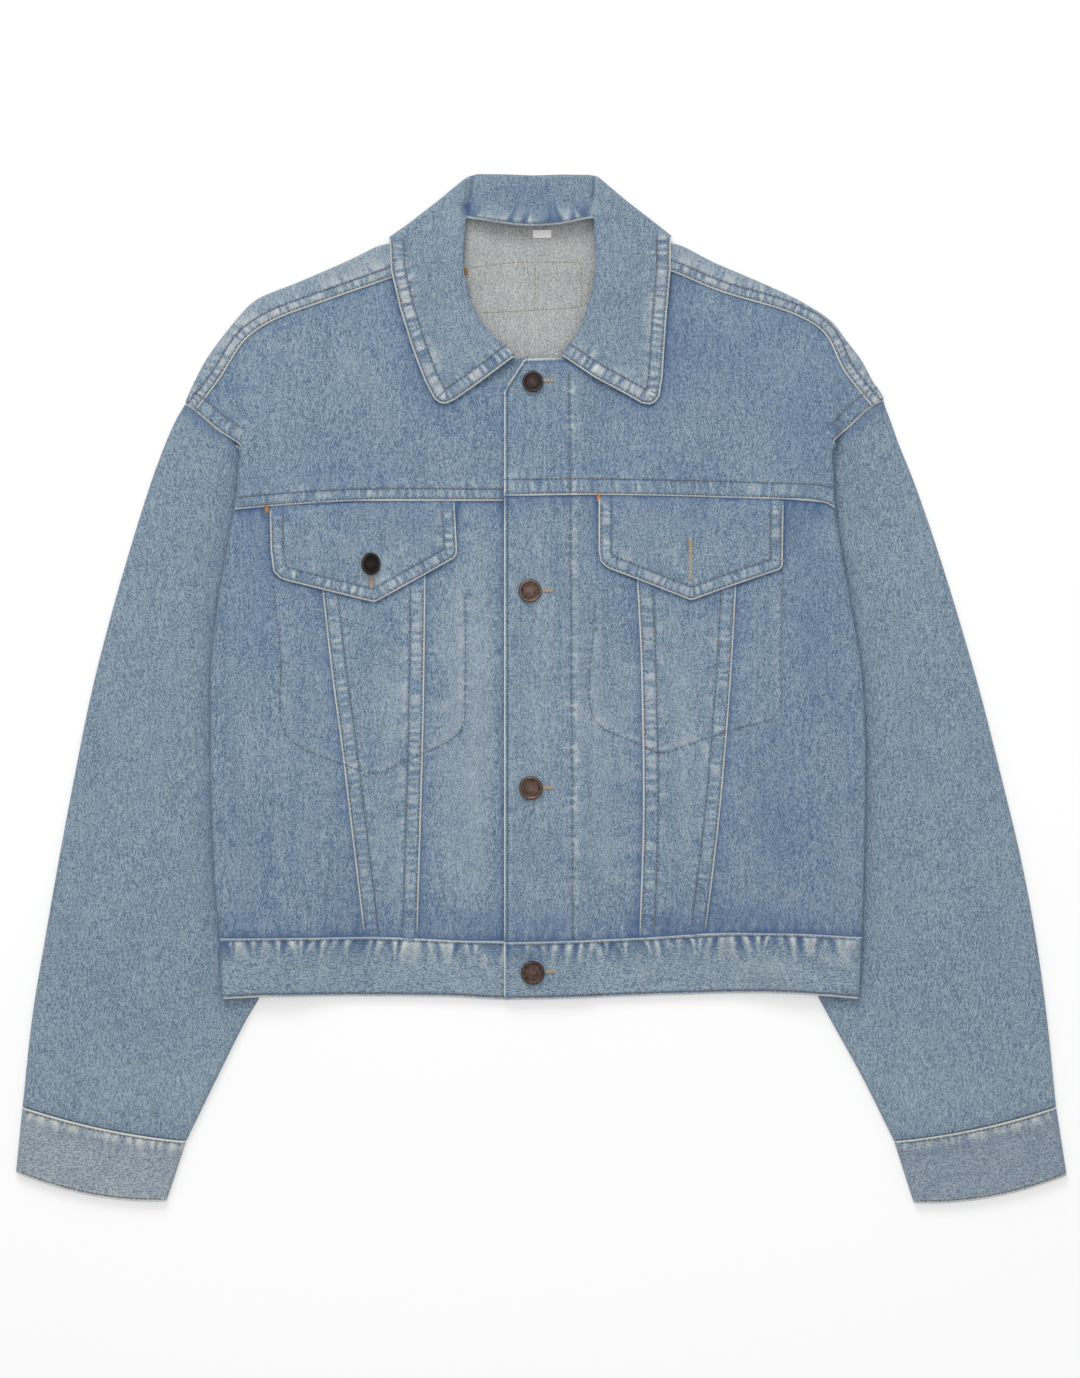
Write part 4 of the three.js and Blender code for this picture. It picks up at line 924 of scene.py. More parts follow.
# Painted shadow on the other front beside the placket's edge.
placket_painted_shadow = (placket_edge_line, 1, "beside", 0, 0, 0.9)
placket_seams = [(placket_edge_line, -1, "edge", PLACKET_ROW, 71, 0.4),
                 (placket_stitch_line, -1, "line", 0, 73, 1.0)]
neck_corner_line = np.array([(15.0, 232.4), (-12.5, 231.4)])
underlap_stitch_line = np.array([(-32.0, 136.0), (-33.0, 215.0)])
inner_extras = {"west": [placket_painted_shadow], "east": placket_seams}
yoke_extras = {
    "west": [(underlap_stitch_line, -1, "line", 0, 79, 0.8), placket_painted_shadow],
    "east": [placket_seams[0], (placket_corner_line, -1, "edge", PLACKET_ROW, 75, 0.4), placket_seams[1],
             (neck_corner_line, 1, "edge", NECK_CORNER_ROW, 77, 0.4)],
}

front_panels = {}
for side, way in SIDES.items():
    yoke, waist = yoke_seam[side], waist_seam[side]
    vee_side, vee_middle = vee_seam[side]["side"], vee_seam[side]["middle"]
    bottom, top = shifted(waist, -UNDER_LAP), shifted(yoke, UNDER_LAP)
    crossed = [(yoke_lines[side], -1, "under", 0, 11 + way, 1.0),
               (waist_lines[side], 1, "under", 0, 23 + way, 1.0),
               # Painted shadow on the front round the flap's edge.
               (flap_edges[side], -1, "beside", 0, 0, 1.0),
               (bag_lines[side], 1, "line", 0, 17 + way, 0.5)]
    edges = {"side": [shifted(vee_side, -way * UNDER_LAP), outline[side]],
             "vee": [vee_middle, vee_side],
             "inner": [steady(front_ends[side]), shifted(vee_middle, way * UNDER_LAP)]}
    lines = vee_lines[side]
    seams = {
        "side": [*crossed, (lines["side"], -way, "under", 0, 31 + way, 0.7)],
        "vee": [*crossed, (lines["side"], way, "over", PANEL_BAND, 41 + way, 0.9),
                (lines["middle"], -way, "over", PANEL_BAND, 51 + way, 0.9)],
        "inner": [*crossed, (lines["middle"], way, "under", 0, 61 + way, 0.7), *inner_extras[side]],
    }
    for part, pair in edges.items():
        left, right = pair if side == "east" else pair[::-1]
        front_panels[side, part] = front_patch(side, four_sided(left, right, bottom, top), seams[part])
    corner = float(outline[side](YOKE_CORNER))
    fold = upright(outline[side], ARMHOLES[side][-1][1], float(yoke(corner)), 2)
    ring = np.vstack([between(yoke, corner, front_ends[side]), front_edges[side],
                      smooth_line(SHOULDER_SEAMS[side], 2) + np.array([0, UNDER_LAP]),
                      smooth_line(ARMHOLES[side], 2)[2:], fold[1:-1]])
    yoke_seams = [(yoke_lines[side], 1, "over", YOKE_BAND[side], 81 + way, 1.0),
                  # Painted shadow on the yoke round the collar's leaves.
                  (leaf_edges[side], -1, "beside", 0, 0, 1.0),
                  (shoulder_lines[side], -way, "under", 0, 91 + way, 0.5),
                  (armhole_lines[side], -way, "over", PANEL_BAND, 101 + way, 1.0), *yoke_extras[side]]
    front_panels[side, "yoke"] = front_patch(side, ring, yoke_seams)

for (side, part), patch in front_panels.items():
    name = f"front_{part}_{HANDS[side]}"
    cloth(name + "_cloth", [patch], name, CLOTH_SIDES)

# The waistband goes round the hem: two front strips, lapped at the buttons, and the back strip.
band_patches = []
for side, way in SIDES.items():
    ends = (outline[side], steady(front_ends[side]))[::-way]
    seams = [(waist_lines[side], -1, "top", 0, 111 + way, 2.3),
             (hem_line, 1, "edge", HEM_ROW, 121 + way, 0.3)]
    if side == "east":
        seams += [(placket_edge_line, -1, "edge", BAND_END_ROW, 71, 0.5)]
    band_patches.append(front_patch(side, four_sided(*ends, hem_edge, waist_seam[side]), seams))
back_waist_line = smooth_line(BACK_WAIST_SEAM, 5)
band_patches.append({"outline": four_sided(outline["west"], outline["east"], hem_edge, back_waist_seam),
                     "face": back_outside, "turn": -1, "spacing": 5,
                     "seams": [(hem_line, 1, "edge", HEM_ROW, 125, 0.3),
                               (back_waist_line, -1, "top", 0, 127, 1.0)]})
cloth("waistband_cloth", band_patches, "waistband", [band_denim, wrong_side],
                            BAND_SHELL)


def side_run(side, low, high):
    """Points up (or down) the body's side between two heights."""
    return upright(outline[side], low, high, 2.5)


def strip_face(x, y):
    """Upper face of the back yoke's strips, which come over the shoulders onto the fronts."""
    return folded_side(x, y, back_face(x, y) + FLAT, 1)


# The back: its yoke wraps over both shoulders to the front shoulder seams.
STRIP_WEAR = 0.14
STRIP_CORNERS = {"west": (-62, 330), "east": (46, 330)}
back_yoke_line = smooth_line(BACK_YOKE_SEAM, 5)
yoke_ends = [float(outline[side](BACK_YOKE_ENDS)) for side in SIDES]
back_yoke_ring = np.vstack([
    between(back_yoke_seam, *yoke_ends), side_run("east", 134, 171), armhole_lines["east"][::-1],
    side_run("east", 205, 333), BACK_NECK[::-1], side_run("west", 333, 203), armhole_lines["west"],
    side_run("west", 171, 134)])
yoke_patches = [{"outline": back_yoke_ring, "face": back_outside, "turn": -1, "spacing": 4.5,
                 "seams": [(back_yoke_line, 1, "over", BACK_BAND, 131, 1.0)] + [
                     (armhole_lines[side], -way, "over", BACK_BAND, 135 + way, 0.9)
                     for side, way in SIDES.items()]}]
for side, way in SIDES.items():
    strip = np.vstack([smooth_line(SHOULDER_SEAMS[side], 2), armhole_lines[side][:4][::-1],
                       side_run(side, 204, 333), [STRIP_CORNERS[side]]])
    seams = [(shoulder_lines[side], way, "over", SHOULDER_BAND, 141 + way, 1.1)]
    yoke_patches.append(front_patch(side, strip, seams, worn=STRIP_WEAR, face=strip_face))
cloth("back_yoke_cloth", yoke_patches, "back_yoke", [sleeve_denim, wrong_side])
back_panel_patch = {
    "outline": four_sided(outline["west"], outline["east"], shifted(back_waist_seam, -UNDER_LAP),
                          shifted(back_yoke_seam, UNDER_LAP)),
    "face": back_outside, "turn": -1, "spacing": 5,
    "seams": [(back_yoke_line, -1, "under", 0, 151, 1.0), (back_waist_line, 1, "under", 0, 153, 1.0)]}
cloth("back_panel_cloth", [back_panel_patch], "back_panel", CLOTH_SIDES)

# Pocket flaps: two layers laid on the front, tucked under the yoke's edge.
FLAP_LIFT = GAP + FALL_THICK
FLAP_TUCK = (-7.0, 0.5)
TUCKED_LIFT = 0.1
FLAP_CREASES = {"west": [(-148, 118), (-118, 84), (-84, 116)], "east": [(74, 118), (104, 86), (138, 116)]}


def flap_face_of(side):
    """Upper face of a flap: above the front, and down to it where it is tucked under the yoke."""
    def face(x, y):
        tuck = 1 - rise(*FLAP_TUCK, y - yoke_seam[side](x))
        return front_face(x, y, side) + mix(TUCKED_LIFT, FLAP_LIFT, tuck)
    return face


# What the stitches of each flap lie on: its face and the relief of its edge.
flap_patches = {}
for side, way in SIDES.items():
    points = FLAPS[side]
    edge_line = even_line(points, 2.5)
    tucked = [(points[end][0], yoke_seam[side](points[end][0]) + 1.0) for end in (-1, 0)]
    edge_seam = (edge_line, 1, "edge", FLAP_BAND, 161 + way, 0.9)
    flap_patches[side] = {"face": flap_face_of(side), "seams": [edge_seam]}
    flap_patch = {**flap_patches[side], "outline": np.vstack([edge_line, tucked]), "spacing": 2.8,
                  "creases": [(FLAP_CREASES[side], 9, 0.5)],
                  "seams": [edge_seam, (yoke_lines[side], -1, "under", 0, 165 + way, 0.6)]}
    name = f"pocket_flap_{HANDS[side]}"
    cloth(name + "_cloth", [flap_patch], name, CLOTH_SIDES, FLAP_SHELL)

# The collar: leaves and stand in front, the fall folded down behind.
collar_top_line = np.array(COLLAR_TOP[::-1], float)
leaf_west, leaf_east = even_line(COLLAR_LEAF_WEST, 2), even_line(COLLAR_LEAF_EAST, 2)
roll_west, roll_east = smooth_line(COLLAR_ROLL_WEST, 2), smooth_line(COLLAR_ROLL_EAST, 2)
stand_foot = smooth_line(COLLAR_STAND_FOOT, 2)
stand_folds = [np.array([(-52.0, 331.0), (-49.6, 345.0), (-48.4, 361.0)]),
               np.array([(36.2, 331.0), (36.0, 345.0), (36.4, 361.0)])]
front_ring = np.vstack([leaf_west, roll_west[1:], stand_foot[1:], roll_east[1:], leaf_east[1:],
                        collar_top_line])


# Swelling of each leaf: its height, how far off the roll its middle lies, its width, and where up
# the garment it ends.
SWELL = 0.8
SWELL_OFF = 7
SWELL_WIDTH = 6
SWELL_TOP = (322, 334)


def leaf_face(x, y):
    """The collar's face, with each leaf swelling softly beside the line where it rolls over."""
    places = np.column_stack([x, y])
    swell = np.zeros(len(places))
    for line in (roll_west, roll_east):
        off = np.abs(in_blocks(lambda p: off_line(line[::2], p), places)[1])
        swell = np.maximum(swell, SWELL * bell(off, SWELL_OFF, SWELL_WIDTH) * (1 - rise(*SWELL_TOP, y)))
    return collar_face(x, y) + swell


front_collar = {"outline": front_ring, "face": leaf_face, "spacing": 2.6, "seams": [
    (leaf_west, 1, "edge", LEAF_BAND, 171, 1.25), (leaf_east, 1, "edge", LEAF_BAND, 173, 1.25),
    (roll_west, 1, "roll", 1.3, 175, 1.0), (roll_east, 1, "roll", 1.3, 177, 1.0),
    (stand_foot, 1, "top", 0, 179, 2.2), (stand_folds[0], 1, "fold", 0, 185, 1.0),
    (stand_folds[1], -1, "fold", 0, 187, 1.0)],
    "fades": [(-8, 347, 40, 14, -0.3), (-80, 262, 14, 40, -0.07), (66, 262, 12, 40, -0.07),
              (-62, 330, 12, 20, 0.1)]}
fall_line = smooth_line(COLLAR_FALL, 2)
fall_collar = {"outline": np.vstack([fall_line, collar_top_line]), "face": fall_face, "turn": -1,
               "spacing": 3.5, "seams": [(fall_line, 1, "edge", BACK_BAND, 183, 0.8)]}
cloth("collar_cloth", [front_collar, fall_collar], "collar", [sleeve_denim, sleeve_denim],
                         BAND_SHELL)


def coons(start, end, first, last, s, t):
    """Fills four edges in plan: the two ends blended along t, plus the two long edges blended
    across s, less the blend of the four corners."""
    a = start(s) * (1 - t) + end(s) * t
    b = first(t) * (1 - s) + last(t) * s
    zero, one = np.zeros_like(s), np.ones_like(s)
    corners = (start(zero) * (1 - s) * (1 - t) + start(one) * s * (1 - t)
               + end(zero) * (1 - s) * t + end(one) * s * t)
    return a + b - corners


def by_share(line):
    """A line as a function of the share of the way along it."""
    run = np.linspace(0, 1, len(line))
    return lambda share: np.stack([np.interp(share, run, line[:, 0]), np.interp(share, run, line[:, 1])], -1)


def bowed(start, end, bow):
    """A line between two places that sags towards the hem, most in its middle."""
    a, b = np.array(start, float), np.array(end, float)
    return lambda s: a + (b - a) * s + np.array([0, -1.0]) * (bow * 4 * s * (1 - s))


# Columns of points round a fold, as shares of its depth.
FOLD_SHARES = np.array([0, 0.04, 0.15, 0.33, 0.58, 1.0])


def flat_tube(edges, rows, columns, thick, relief):
    """A flattened tube: a ring of places across its face, round one fold, back across its
    underside and round the other, each fold half an ellipse. Relief goes on the outside."""
    start, end, first, last = edges
    t = np.asarray(rows, float)[:, None, None]
    ends = coons(start, end, first, last, np.array([0.0, 1.0])[None, :, None], t)
    width = np.linalg.norm(ends[:, 1] - ends[:, 0], axis=1)[:, None]
    fold = FOLD_DEPTH / width
    flat = np.linspace(0, 1, columns)[None, 1:-1]
    across = np.concatenate([fold * FOLD_SHARES, fold + (1 - 2 * fold) * flat,
                             1 - fold * FOLD_SHARES[::-1]], axis=1)
    plan = coons(start, end, first, last, across[..., None], t)
    past = np.clip(1 - np.minimum(across, 1 - across) / fold, 0, 1)
    round_off = np.sqrt(1 - past**2)
    total = thick(across, t[..., 0])
    top = total / 2 * (1 + round_off)
    under = np.maximum(total / 2 * (1 - round_off), REST)
    height, wear_and_shade = (values.reshape(across.shape) for values in relief(plan.reshape(-1, 2)))
    upper = np.concatenate([plan, (top + height * round_off)[..., None]], axis=2)
    lower = np.concatenate([plan, under[..., None]], axis=2)[:, ::-1][:, 1:-1]
    return np.concatenate([upper, lower], axis=1), np.concatenate([wear_and_shade, wear_and_shade[:, ::-1][:, 1:-1]], axis=1)


def ring_faces(rows, count, flip):
    """Four-sided faces between rows of points that close into rings."""
    i, j = np.meshgrid(np.arange(rows - 1), np.arange(count), indexing="ij")
    k = (j + 1) % count
    row, after = i * count, (i + 1) * count
    quads = np.stack([row + j, row + k, after + k, after + j], -1).reshape(-1, 4)
    return quads[:, ::-1] if flip else quads


SLEEVE_CREASES = {
    "west": [([(-300, 20), (-316, -60), (-332, -150), (-345, -230)], 10, -0.55),
             ([(-262, 150), (-276, 90), (-290, 20)], 8, 0.7),
             ([(-238, 120), (-262, 0), (-290, -140)], 13, 0.5),
             ([(-205, -215), (-250, -232), (-300, -236)], 9, -0.5),
             ([(-212, -60), (-240, -120), (-262, -200)], 10, -0.5)],
    "east": [([(292, 20), (308, -60), (322, -150), (338, -230)], 10, -0.55),
             ([(252, 150), (266, 90), (282, 20)], 8, 0.6),
             ([(230, 120), (254, 0), (282, -140)], 13, 0.5),
             ([(204, -215), (248, -236), (296, -240)], 9, -0.5),
             ([(208, -60), (236, -120), (258, -200)], 10, -0.5)],
}


# Rows of points down a sleeve and a cuff, as shares of the way, and columns across each.
SLEEVE_ROWS = np.concatenate([[0, 0.004, 0.01, 0.018], np.linspace(0.028, 0.965, 130),
                              np.linspace(0.968, 1, 12)])
CUFF_ROWS = np.concatenate([[0, 0.006, 0.018], np.linspace(0.035, 0.965, 34), [0.982, 0.994, 1]])
SLEEVE_COLUMNS = 52
CUFF_COLUMNS = 84
# Heights at which the head of a sleeve follows the line where it goes beneath the body.
HEAD_HEIGHTS = (126, 80, 30)
# Shares across and down the sleeve over which its head is thinner.
THIN_ACROSS = (0.11, 0.26)
THIN_DOWN = (0, 0.3)
TUBE_SEAM_REACH = (14, 20)
# Painted shadow darkening a sleeve beside the body, and how far it goes; paler denim above the cuff.
BODY_SHADOW_PAINT = 0.42
BODY_SHADOW_REACH = 6.5
BODY_SHADOW_FOOT = (-230, -205)
LOW_WEAR = 0.07
LOW_RISE = (-300, -190)
# The east cuff is a deeper blue than the west one.
CUFF_TONE = {"west": 0.0, "east": -0.23}
LINE_SHARES = np.linspace(0, 1, 40)[:, None]


def tube_seam(places, seam, fade_ends=True):
    """Relief and wear, with painted shadow, of a seam round a tube, whose cloth lies on one side of it only.
    """
    line, kind, width, seed, strength = seam
    run, off, past = in_blocks(lambda p: off_line(line, p), places)
    relief, wash_and_shade = seam_shape(kind, np.abs(off), run, width, seed, strength)
    near = 1 - rise(*TUBE_SEAM_REACH, np.abs(off))
    if fade_ends:
        near = near * (1 - rise(*SEAM_PAST, past))
    return relief * near, wash_and_shade * near


def tube(name, edges, rows, columns, thick, relief, material, shell):
    """A piece of cloth that is a flattened tube."""
    ring, wear_and_shade = flat_tube(edges, rows, columns, thick, relief)
    faces = ring_faces(len(rows), ring.shape[1], name.endswith("right"))
    piece = mesh_of(name + "_cloth", ring.reshape(-1, 3), faces, wear_and_shade.ravel(), [material, wrong_side])
    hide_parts(name)
    thicken(piece, shell)


def sleeve_and_cuff(side):
    """One sleeve from its head beneath the body to the cuff's seam, and its cuff."""
    way = SIDES[side]
    column = 1 + (side == "east")
    outer_x, inner_x = curve_of(SLEEVE_OUTER, column), curve_of(SLEEVE_INNER, column)
    tip, cuff = ARMHOLES[side][0], CUFFS[side]

    def long_edge(curve, high, low):
        """A long edge of the sleeve, by the share of the way down from one height to another."""
        def at(t):
            y = high + (low - high) * t[..., 0]
            return np.stack([curve(y), y], -1)
        return at

    first = long_edge(outer_x, tip[1] - 2 * GAP, cuff["seam_outer"][1] + GAP)
    last = long_edge(inner_x, UNDERARM, cuff["seam_inner"][1] + GAP)
    shift = 2 * GAP * way
    middle = [(x + shift, y) for x, y in ARMHOLES[side][1:]]
    middle += [(float(beneath[side](y)) + shift, y) for y in HEAD_HEIGHTS]
    top = (float(outer_x(tip[1] - 2 * GAP)), tip[1] - 2 * GAP)
    head_at = by_share(smooth_line([top, *middle, (float(inner_x(UNDERARM)), UNDERARM)], 2))
    seam_bow = bowed((float(outer_x(cuff["seam_outer"][1])), cuff["seam_outer"][1] + GAP),
                     (float(inner_x(cuff["seam_inner"][1])), cuff["seam_inner"][1] + GAP), CUFF_SEAM_BOW)
    cuff_line = seam_bow(LINE_SHARES) - [0, GAP]

    def thick(s, t):
        """Thickness of the sleeve: less at its head, where the body lies on it."""
        return mix(FLAT, HEAD_THICK, rise(*THIN_ACROSS, s) * (1 - rise(*THIN_DOWN, t)))

    def sleeve_relief(places):
        """Relief and wear of the sleeve: its two seams, its creases, and painted shadow by the body."""
        height, wear_and_shade = np.zeros(len(places)), np.zeros(len(places))
        for line, seed in ((armhole_lines[side], 201), (cuff_line, 205)):
            relief, wash_and_shade = tube_seam(places, (line, "under", 0, seed + way, 0.3))
            height, wear_and_shade = height + relief, wear_and_shade + wash_and_shade
        for crease in SLEEVE_CREASES[side]:
            height = height + crease_shape(crease, places)
        x, y = places.T
        # Painted shadow: the sleeve is darker close to the body's edge, and none of it near the cuff.
        clear = np.maximum(way * (x - outline[side](y)), 0)
        wear_and_shade = wear_and_shade - BODY_SHADOW_PAINT * np.exp(-clear / BODY_SHADOW_REACH) * rise(*BODY_SHADOW_FOOT, y)
        return height, wear_and_shade + LOW_WEAR * (1 - rise(*LOW_RISE, y))

    tube(f"sleeve_{HANDS[side]}", (lambda s: head_at(s[..., 0]), seam_bow, first, last), SLEEVE_ROWS,
         SLEEVE_COLUMNS, thick, sleeve_relief, sleeve_denim, ONE_LAYER)
    ends = bowed(cuff["end_outer"], cuff["end_inner"], CUFF_END_BOW)
    seam = bowed(cuff["seam_outer"], cuff["seam_inner"], CUFF_SEAM_BOW)

    def cuff_relief(places):
        """Relief and wear of the cuff, from its seam and its end."""
        height, wear_and_shade = np.zeros(len(places)), np.full(len(places), CUFF_TONE[side])
        for sewn in ((seam(LINE_SHARES), "top", CUFF_SEAM_BAND, 211 + way, 0.9),
                     (ends(LINE_SHARES), "top", CUFF_END_BAND, 215 + way, 0.25)):
            relief, wash_and_shade = tube_seam(places, sewn, fade_ends=False)
            height, wear_and_shade = height + relief, wear_and_shade + wash_and_shade
        return height, wear_and_shade

    tube(f"cuff_{HANDS[side]}", (seam, ends, bowed(cuff["seam_outer"], cuff["end_outer"], 0),
         bowed(cuff["seam_inner"], cuff["end_inner"], 0)), CUFF_ROWS, CUFF_COLUMNS,
         lambda s, t: FLAT + 0 * s, cuff_relief, cuff_denim, CUFF_SHELL)


for side in SIDES:
    sleeve_and_cuff(side)

# Buttons: a shank button's dished cap with a raised rim, turned from its profile of share of the
# radius and share of the height, with how readily each place of it is rubbed.
BUTTON_HEIGHT = 3.4
BUTTON_TURNS = 56
SHANK_HEIGHT = 0.34
LEAN_LIFT = 0.8
BUTTON_PROFILE = [
    (0.0, 0.0), (0.3, 0.0), (0.34, 0.04), (0.34, 0.3), (0.86, 0.34), (0.97, 0.46), (1.0, 0.62), (0.985, 0.8),
    (0.93, 0.94), (0.87, 0.99), (0.81, 0.96), (0.76, 0.86), (0.7, 0.82), (0.6, 0.83), (0.5, 0.86),
    (0.38, 0.9), (0.26, 0.93), (0.14, 0.95), (0.0, 0.955),
]
BUTTON_RUB = [0, 0, 0, 0, 0, 0.05, 0.15, 0.25, 0.45, 0.5, 0.3, 0.1, 0, 0.04, 0.1, 0.16, 0.24, 0.3, 0.32]
# How rubbed each button is, from dark to bright.
BUTTON_WEAR = {"front_button_1": 0.6, "front_button_2": 0.8, "front_button_3": 0.6, "front_button_4": 0.25,
               "pocket_button_right": 0.5}
BLACKENED = ("front_button_1", "pocket_button_right")


def button(name, x, y, radius, base, tilt):
    """A ring of points for each row of the profile, closed at both poles. Above its shank the cap
    leans over by the tilt, and is lifted so that its low side stays clear of the cloth."""
    profile = np.array(BUTTON_PROFILE)
    angle = np.linspace(0, 2 * np.pi, BUTTON_TURNS, endpoint=False)
    rings = profile[1:-1]
    rub = np.repeat(BUTTON_RUB[1:-1], BUTTON_TURNS) * BUTTON_WEAR[name]
    px = (rings[:, :1] * np.cos(angle)).ravel() * radius
    py = (rings[:, :1] * np.sin(angle)).ravel() * radius
    pz = np.repeat(rings[:, 1], BUTTON_TURNS) * BUTTON_HEIGHT
    points = np.vstack([np.column_stack([px, py, pz]), [0, 0, 0], [0, 0, profile[-1, 1] * BUTTON_HEIGHT]])
    cap = np.clip(points[:, 2] / (SHANK_HEIGHT * BUTTON_HEIGHT), 0, 1)
    lean = tilt * cap
    px, pz = points[:, 0].copy(), points[:, 2].copy()
    points[:, 0] = px * np.cos(lean) + pz * np.sin(lean) - BUTTON_HEIGHT * np.sin(lean)
    lift = radius * np.sin(np.abs(tilt)) * cap * LEAN_LIFT
    points[:, 2] = pz * np.cos(lean) - px * np.sin(lean) + lift
    quads = ring_faces(len(rings), BUTTON_TURNS, False)
    last = (len(rings) - 1) * BUTTON_TURNS
    j = np.arange(BUTTON_TURNS)
    k = (j + 1) % BUTTON_TURNS
    bottom = np.column_stack([k, j, j * 0 + len(points) - 2])
    top = np.column_stack([last + j, last + k, j * 0 + len(points) - 1])
    faces = quads.tolist() + bottom.tolist() + top.tolist()
    points += [x, y, base]
    piece = mesh_of(name + "_metal", points, faces, np.append(rub, [0, BUTTON_RUB[-1] * BUTTON_WEAR[name]]),
                    [dark_metal if name in BLACKENED else copper])
    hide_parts(name)
    return piece


for name, x, y, radius in BUTTONS:
    on_flap = not name.startswith("front")
    side = "west" if on_flap else "east"
    face = float(front_face(np.array([float(x)]), np.array([float(y)]), side)[0])
    base = face + (FLAP_LIFT if on_flap else 0) + GAP
    button(name, x, y, radius, base, math.radians(BUTTON_LEANS[name]))

# Stitches: each a short spindle of thread lying on the cloth, all of one colour joined.
STITCH_PITCH = 3.2
STITCH_LENGTH = 2.5
THREAD = 0.82
STITCH_STANDS = 0.3
# A spindle: two square rings of places along a stitch, drawn in at its ends.
SPINDLE = np.array([(-0.5, 0.4, -0.2), (-0.5, 0, 0.4), (-0.5, -0.4, -0.2), (-0.5, 0, -0.4),
                    (-0.28, 1, 0), (-0.28, 0, 1), (-0.28, -1, 0), (-0.28, 0, -1),
                    (0.28, 1, 0), (0.28, 0, 1), (0.28, -1, 0), (0.28, 0, -1),
                    (0.5, 0.4, -0.2), (0.5, 0, 0.4), (0.5, -0.4, -0.2), (0.5, 0, -0.4)])
SPINDLE_FACES = [(3, 2, 1, 0), (12, 13, 14, 15)] + [
    (4 * ring + i, 4 * ring + (i + 1) % 4, 4 * ring + 4 + (i + 1) % 4, 4 * ring + 4 + i)
    for ring in range(3) for i in range(4)]


def stitched(name, rows, colour):
    """Rows of stitches: line, patch they lie on, thickness, pitch and length of a stitch."""
    points, faces, count = [], [], 0
    for line, patch, thick, pitch, length in rows:
        path = even_line(line, pitch)
        centre = (path[1:] + path[:-1]) / 2
        along = np.diff(path, axis=0)
        along = along / np.linalg.norm(along, axis=1)[:, None]
        across = np.column_stack([-along[:, 1], along[:, 0]])
        level = raised(patch, centre)[0]
        turn = patch.get("turn", 1)
        body = SPINDLE[None] * [length, thick / 2, thick / 2]
        plan = centre[:, None] + body[..., :1] * along[:, None] + body[..., 1:2] * across[:, None]
        upper = (level + turn * thick * STITCH_STANDS)[:, None, None] + turn * body[..., 2:]
        points.append(np.concatenate([plan, np.maximum(upper, 0)], axis=2).reshape(-1, 3))
        shape = np.array(SPINDLE_FACES)[:, ::turn]
        starts = count + len(SPINDLE) * np.arange(len(centre))
        faces.append((starts[:, None, None] + shape).reshape(-1, 4))
        count += len(SPINDLE) * len(centre)
    vertices = np.vstack(points)
    piece = mesh_of(name, vertices, np.vstack(faces), np.zeros(len(vertices)), [colour])
    return piece


def beside(line, by):
    """The line moved sideways, to its left for by above 0."""
    ahead = np.gradient(line, axis=0)
    ahead = ahead / np.linalg.norm(ahead, axis=1)[:, None]
    return line + by * np.column_stack([-ahead[:, 1], ahead[:, 0]])


def part_of(line, low, high, axis=0):
    """The part of a line between two places across (axis 0) or up (axis 1)."""
    return line[(line[:, axis] >= low) & (line[:, axis] <= high)]


def row(line, patch, thick=THREAD):
    """A row of ordinary stitches for stitched."""
    return line, patch, thick, STITCH_PITCH, STITCH_LENGTH


# How far each row of stitches runs: across on yoke, sleeve head and band, up on the V seams.
YOKE_RUN = {"west": (-214, 20), "east": (-24, 207)}
HEAD_RUN = {"west": (-260, -207.5), "east": (201, 260)}
BAND_RUN = {"west": (-223, 18), "east": (-24, 222)}
VEE_RUN = {"west": (-170, 74), "east": (-168, 76)}
BELOW_TOP = (-500, 318)
BAG_THREAD = 0.7
BAG_CLEAR = 2
top_rows = []
for side, way in SIDES.items():
    panel = {part: front_panels[side, part] for part in ("side", "vee", "inner", "yoke")}
    strip, band = yoke_patches[1 + (side == "east")], band_patches[side == "east"]
    for by in (FIRST_ROW, YOKE_BAND[side]):
        top_rows.append(row(part_of(beside(yoke_lines[side], by), *YOKE_RUN[side]), panel["yoke"]))
    for by in (FIRST_ROW, PANEL_BAND):
        for part, turn in (("side", way), ("middle", -way)):
            line = beside(vee_lines[side][part], turn * by)
            top_rows.append(row(part_of(line, *VEE_RUN[side], 1), panel["vee"]))
        top_rows.append(row(part_of(beside(armhole_lines[side], -way * by), *HEAD_RUN[side]), panel["yoke"]))
    for by in (FIRST_ROW, SHOULDER_BAND):
        top_rows.append(row(beside(shoulder_lines[side], way * by), strip))
    for line, by in ((waist_lines[side], -WAIST_ROW), (hem_line, HEM_ROW)):
        top_rows.append(row(part_of(beside(line, by), *BAND_RUN[side]), band))
    bag = even_line(smooth_line(BAG_STITCHES[side], 2), 2)
    past_side = way * (bag[:, 0] - vee_seam[side]["side"](bag[:, 1]))
    past_middle = way * (vee_seam[side]["middle"](bag[:, 1]) - bag[:, 0])
    for part, keep in (("side", past_side > BAG_CLEAR), ("inner", past_middle > BAG_CLEAR),
                       ("vee", (past_side <= 0) & (past_middle <= 0))):
        top_rows.append(row(bag[keep], panel[part], BAG_THREAD))
east = {part: front_panels["east", part] for part in ("inner", "yoke")}
placket_row_x = PLACKET_EDGE + PLACKET_ROW
placket_rows = {"inner": [(placket_row_x, -174.0), (placket_row_x, 132.0)],
                "yoke": [(placket_row_x, 137.0), (placket_row_x, 207.0), (-21.5, 213.0), (-11, 230)]}
for part, line in placket_rows.items():
    top_rows.append(row(np.array(line), east[part]))
for low, high, part in ((-174.0, 133.0, "inner"), (137.0, 222.0, "yoke")):
    y = np.linspace(low, high, 60)
    x = np.interp(y, placket_stitch_line[:, 1], placket_stitch_line[:, 0])
    top_rows.append(row(np.column_stack([x, y]), east[part]))
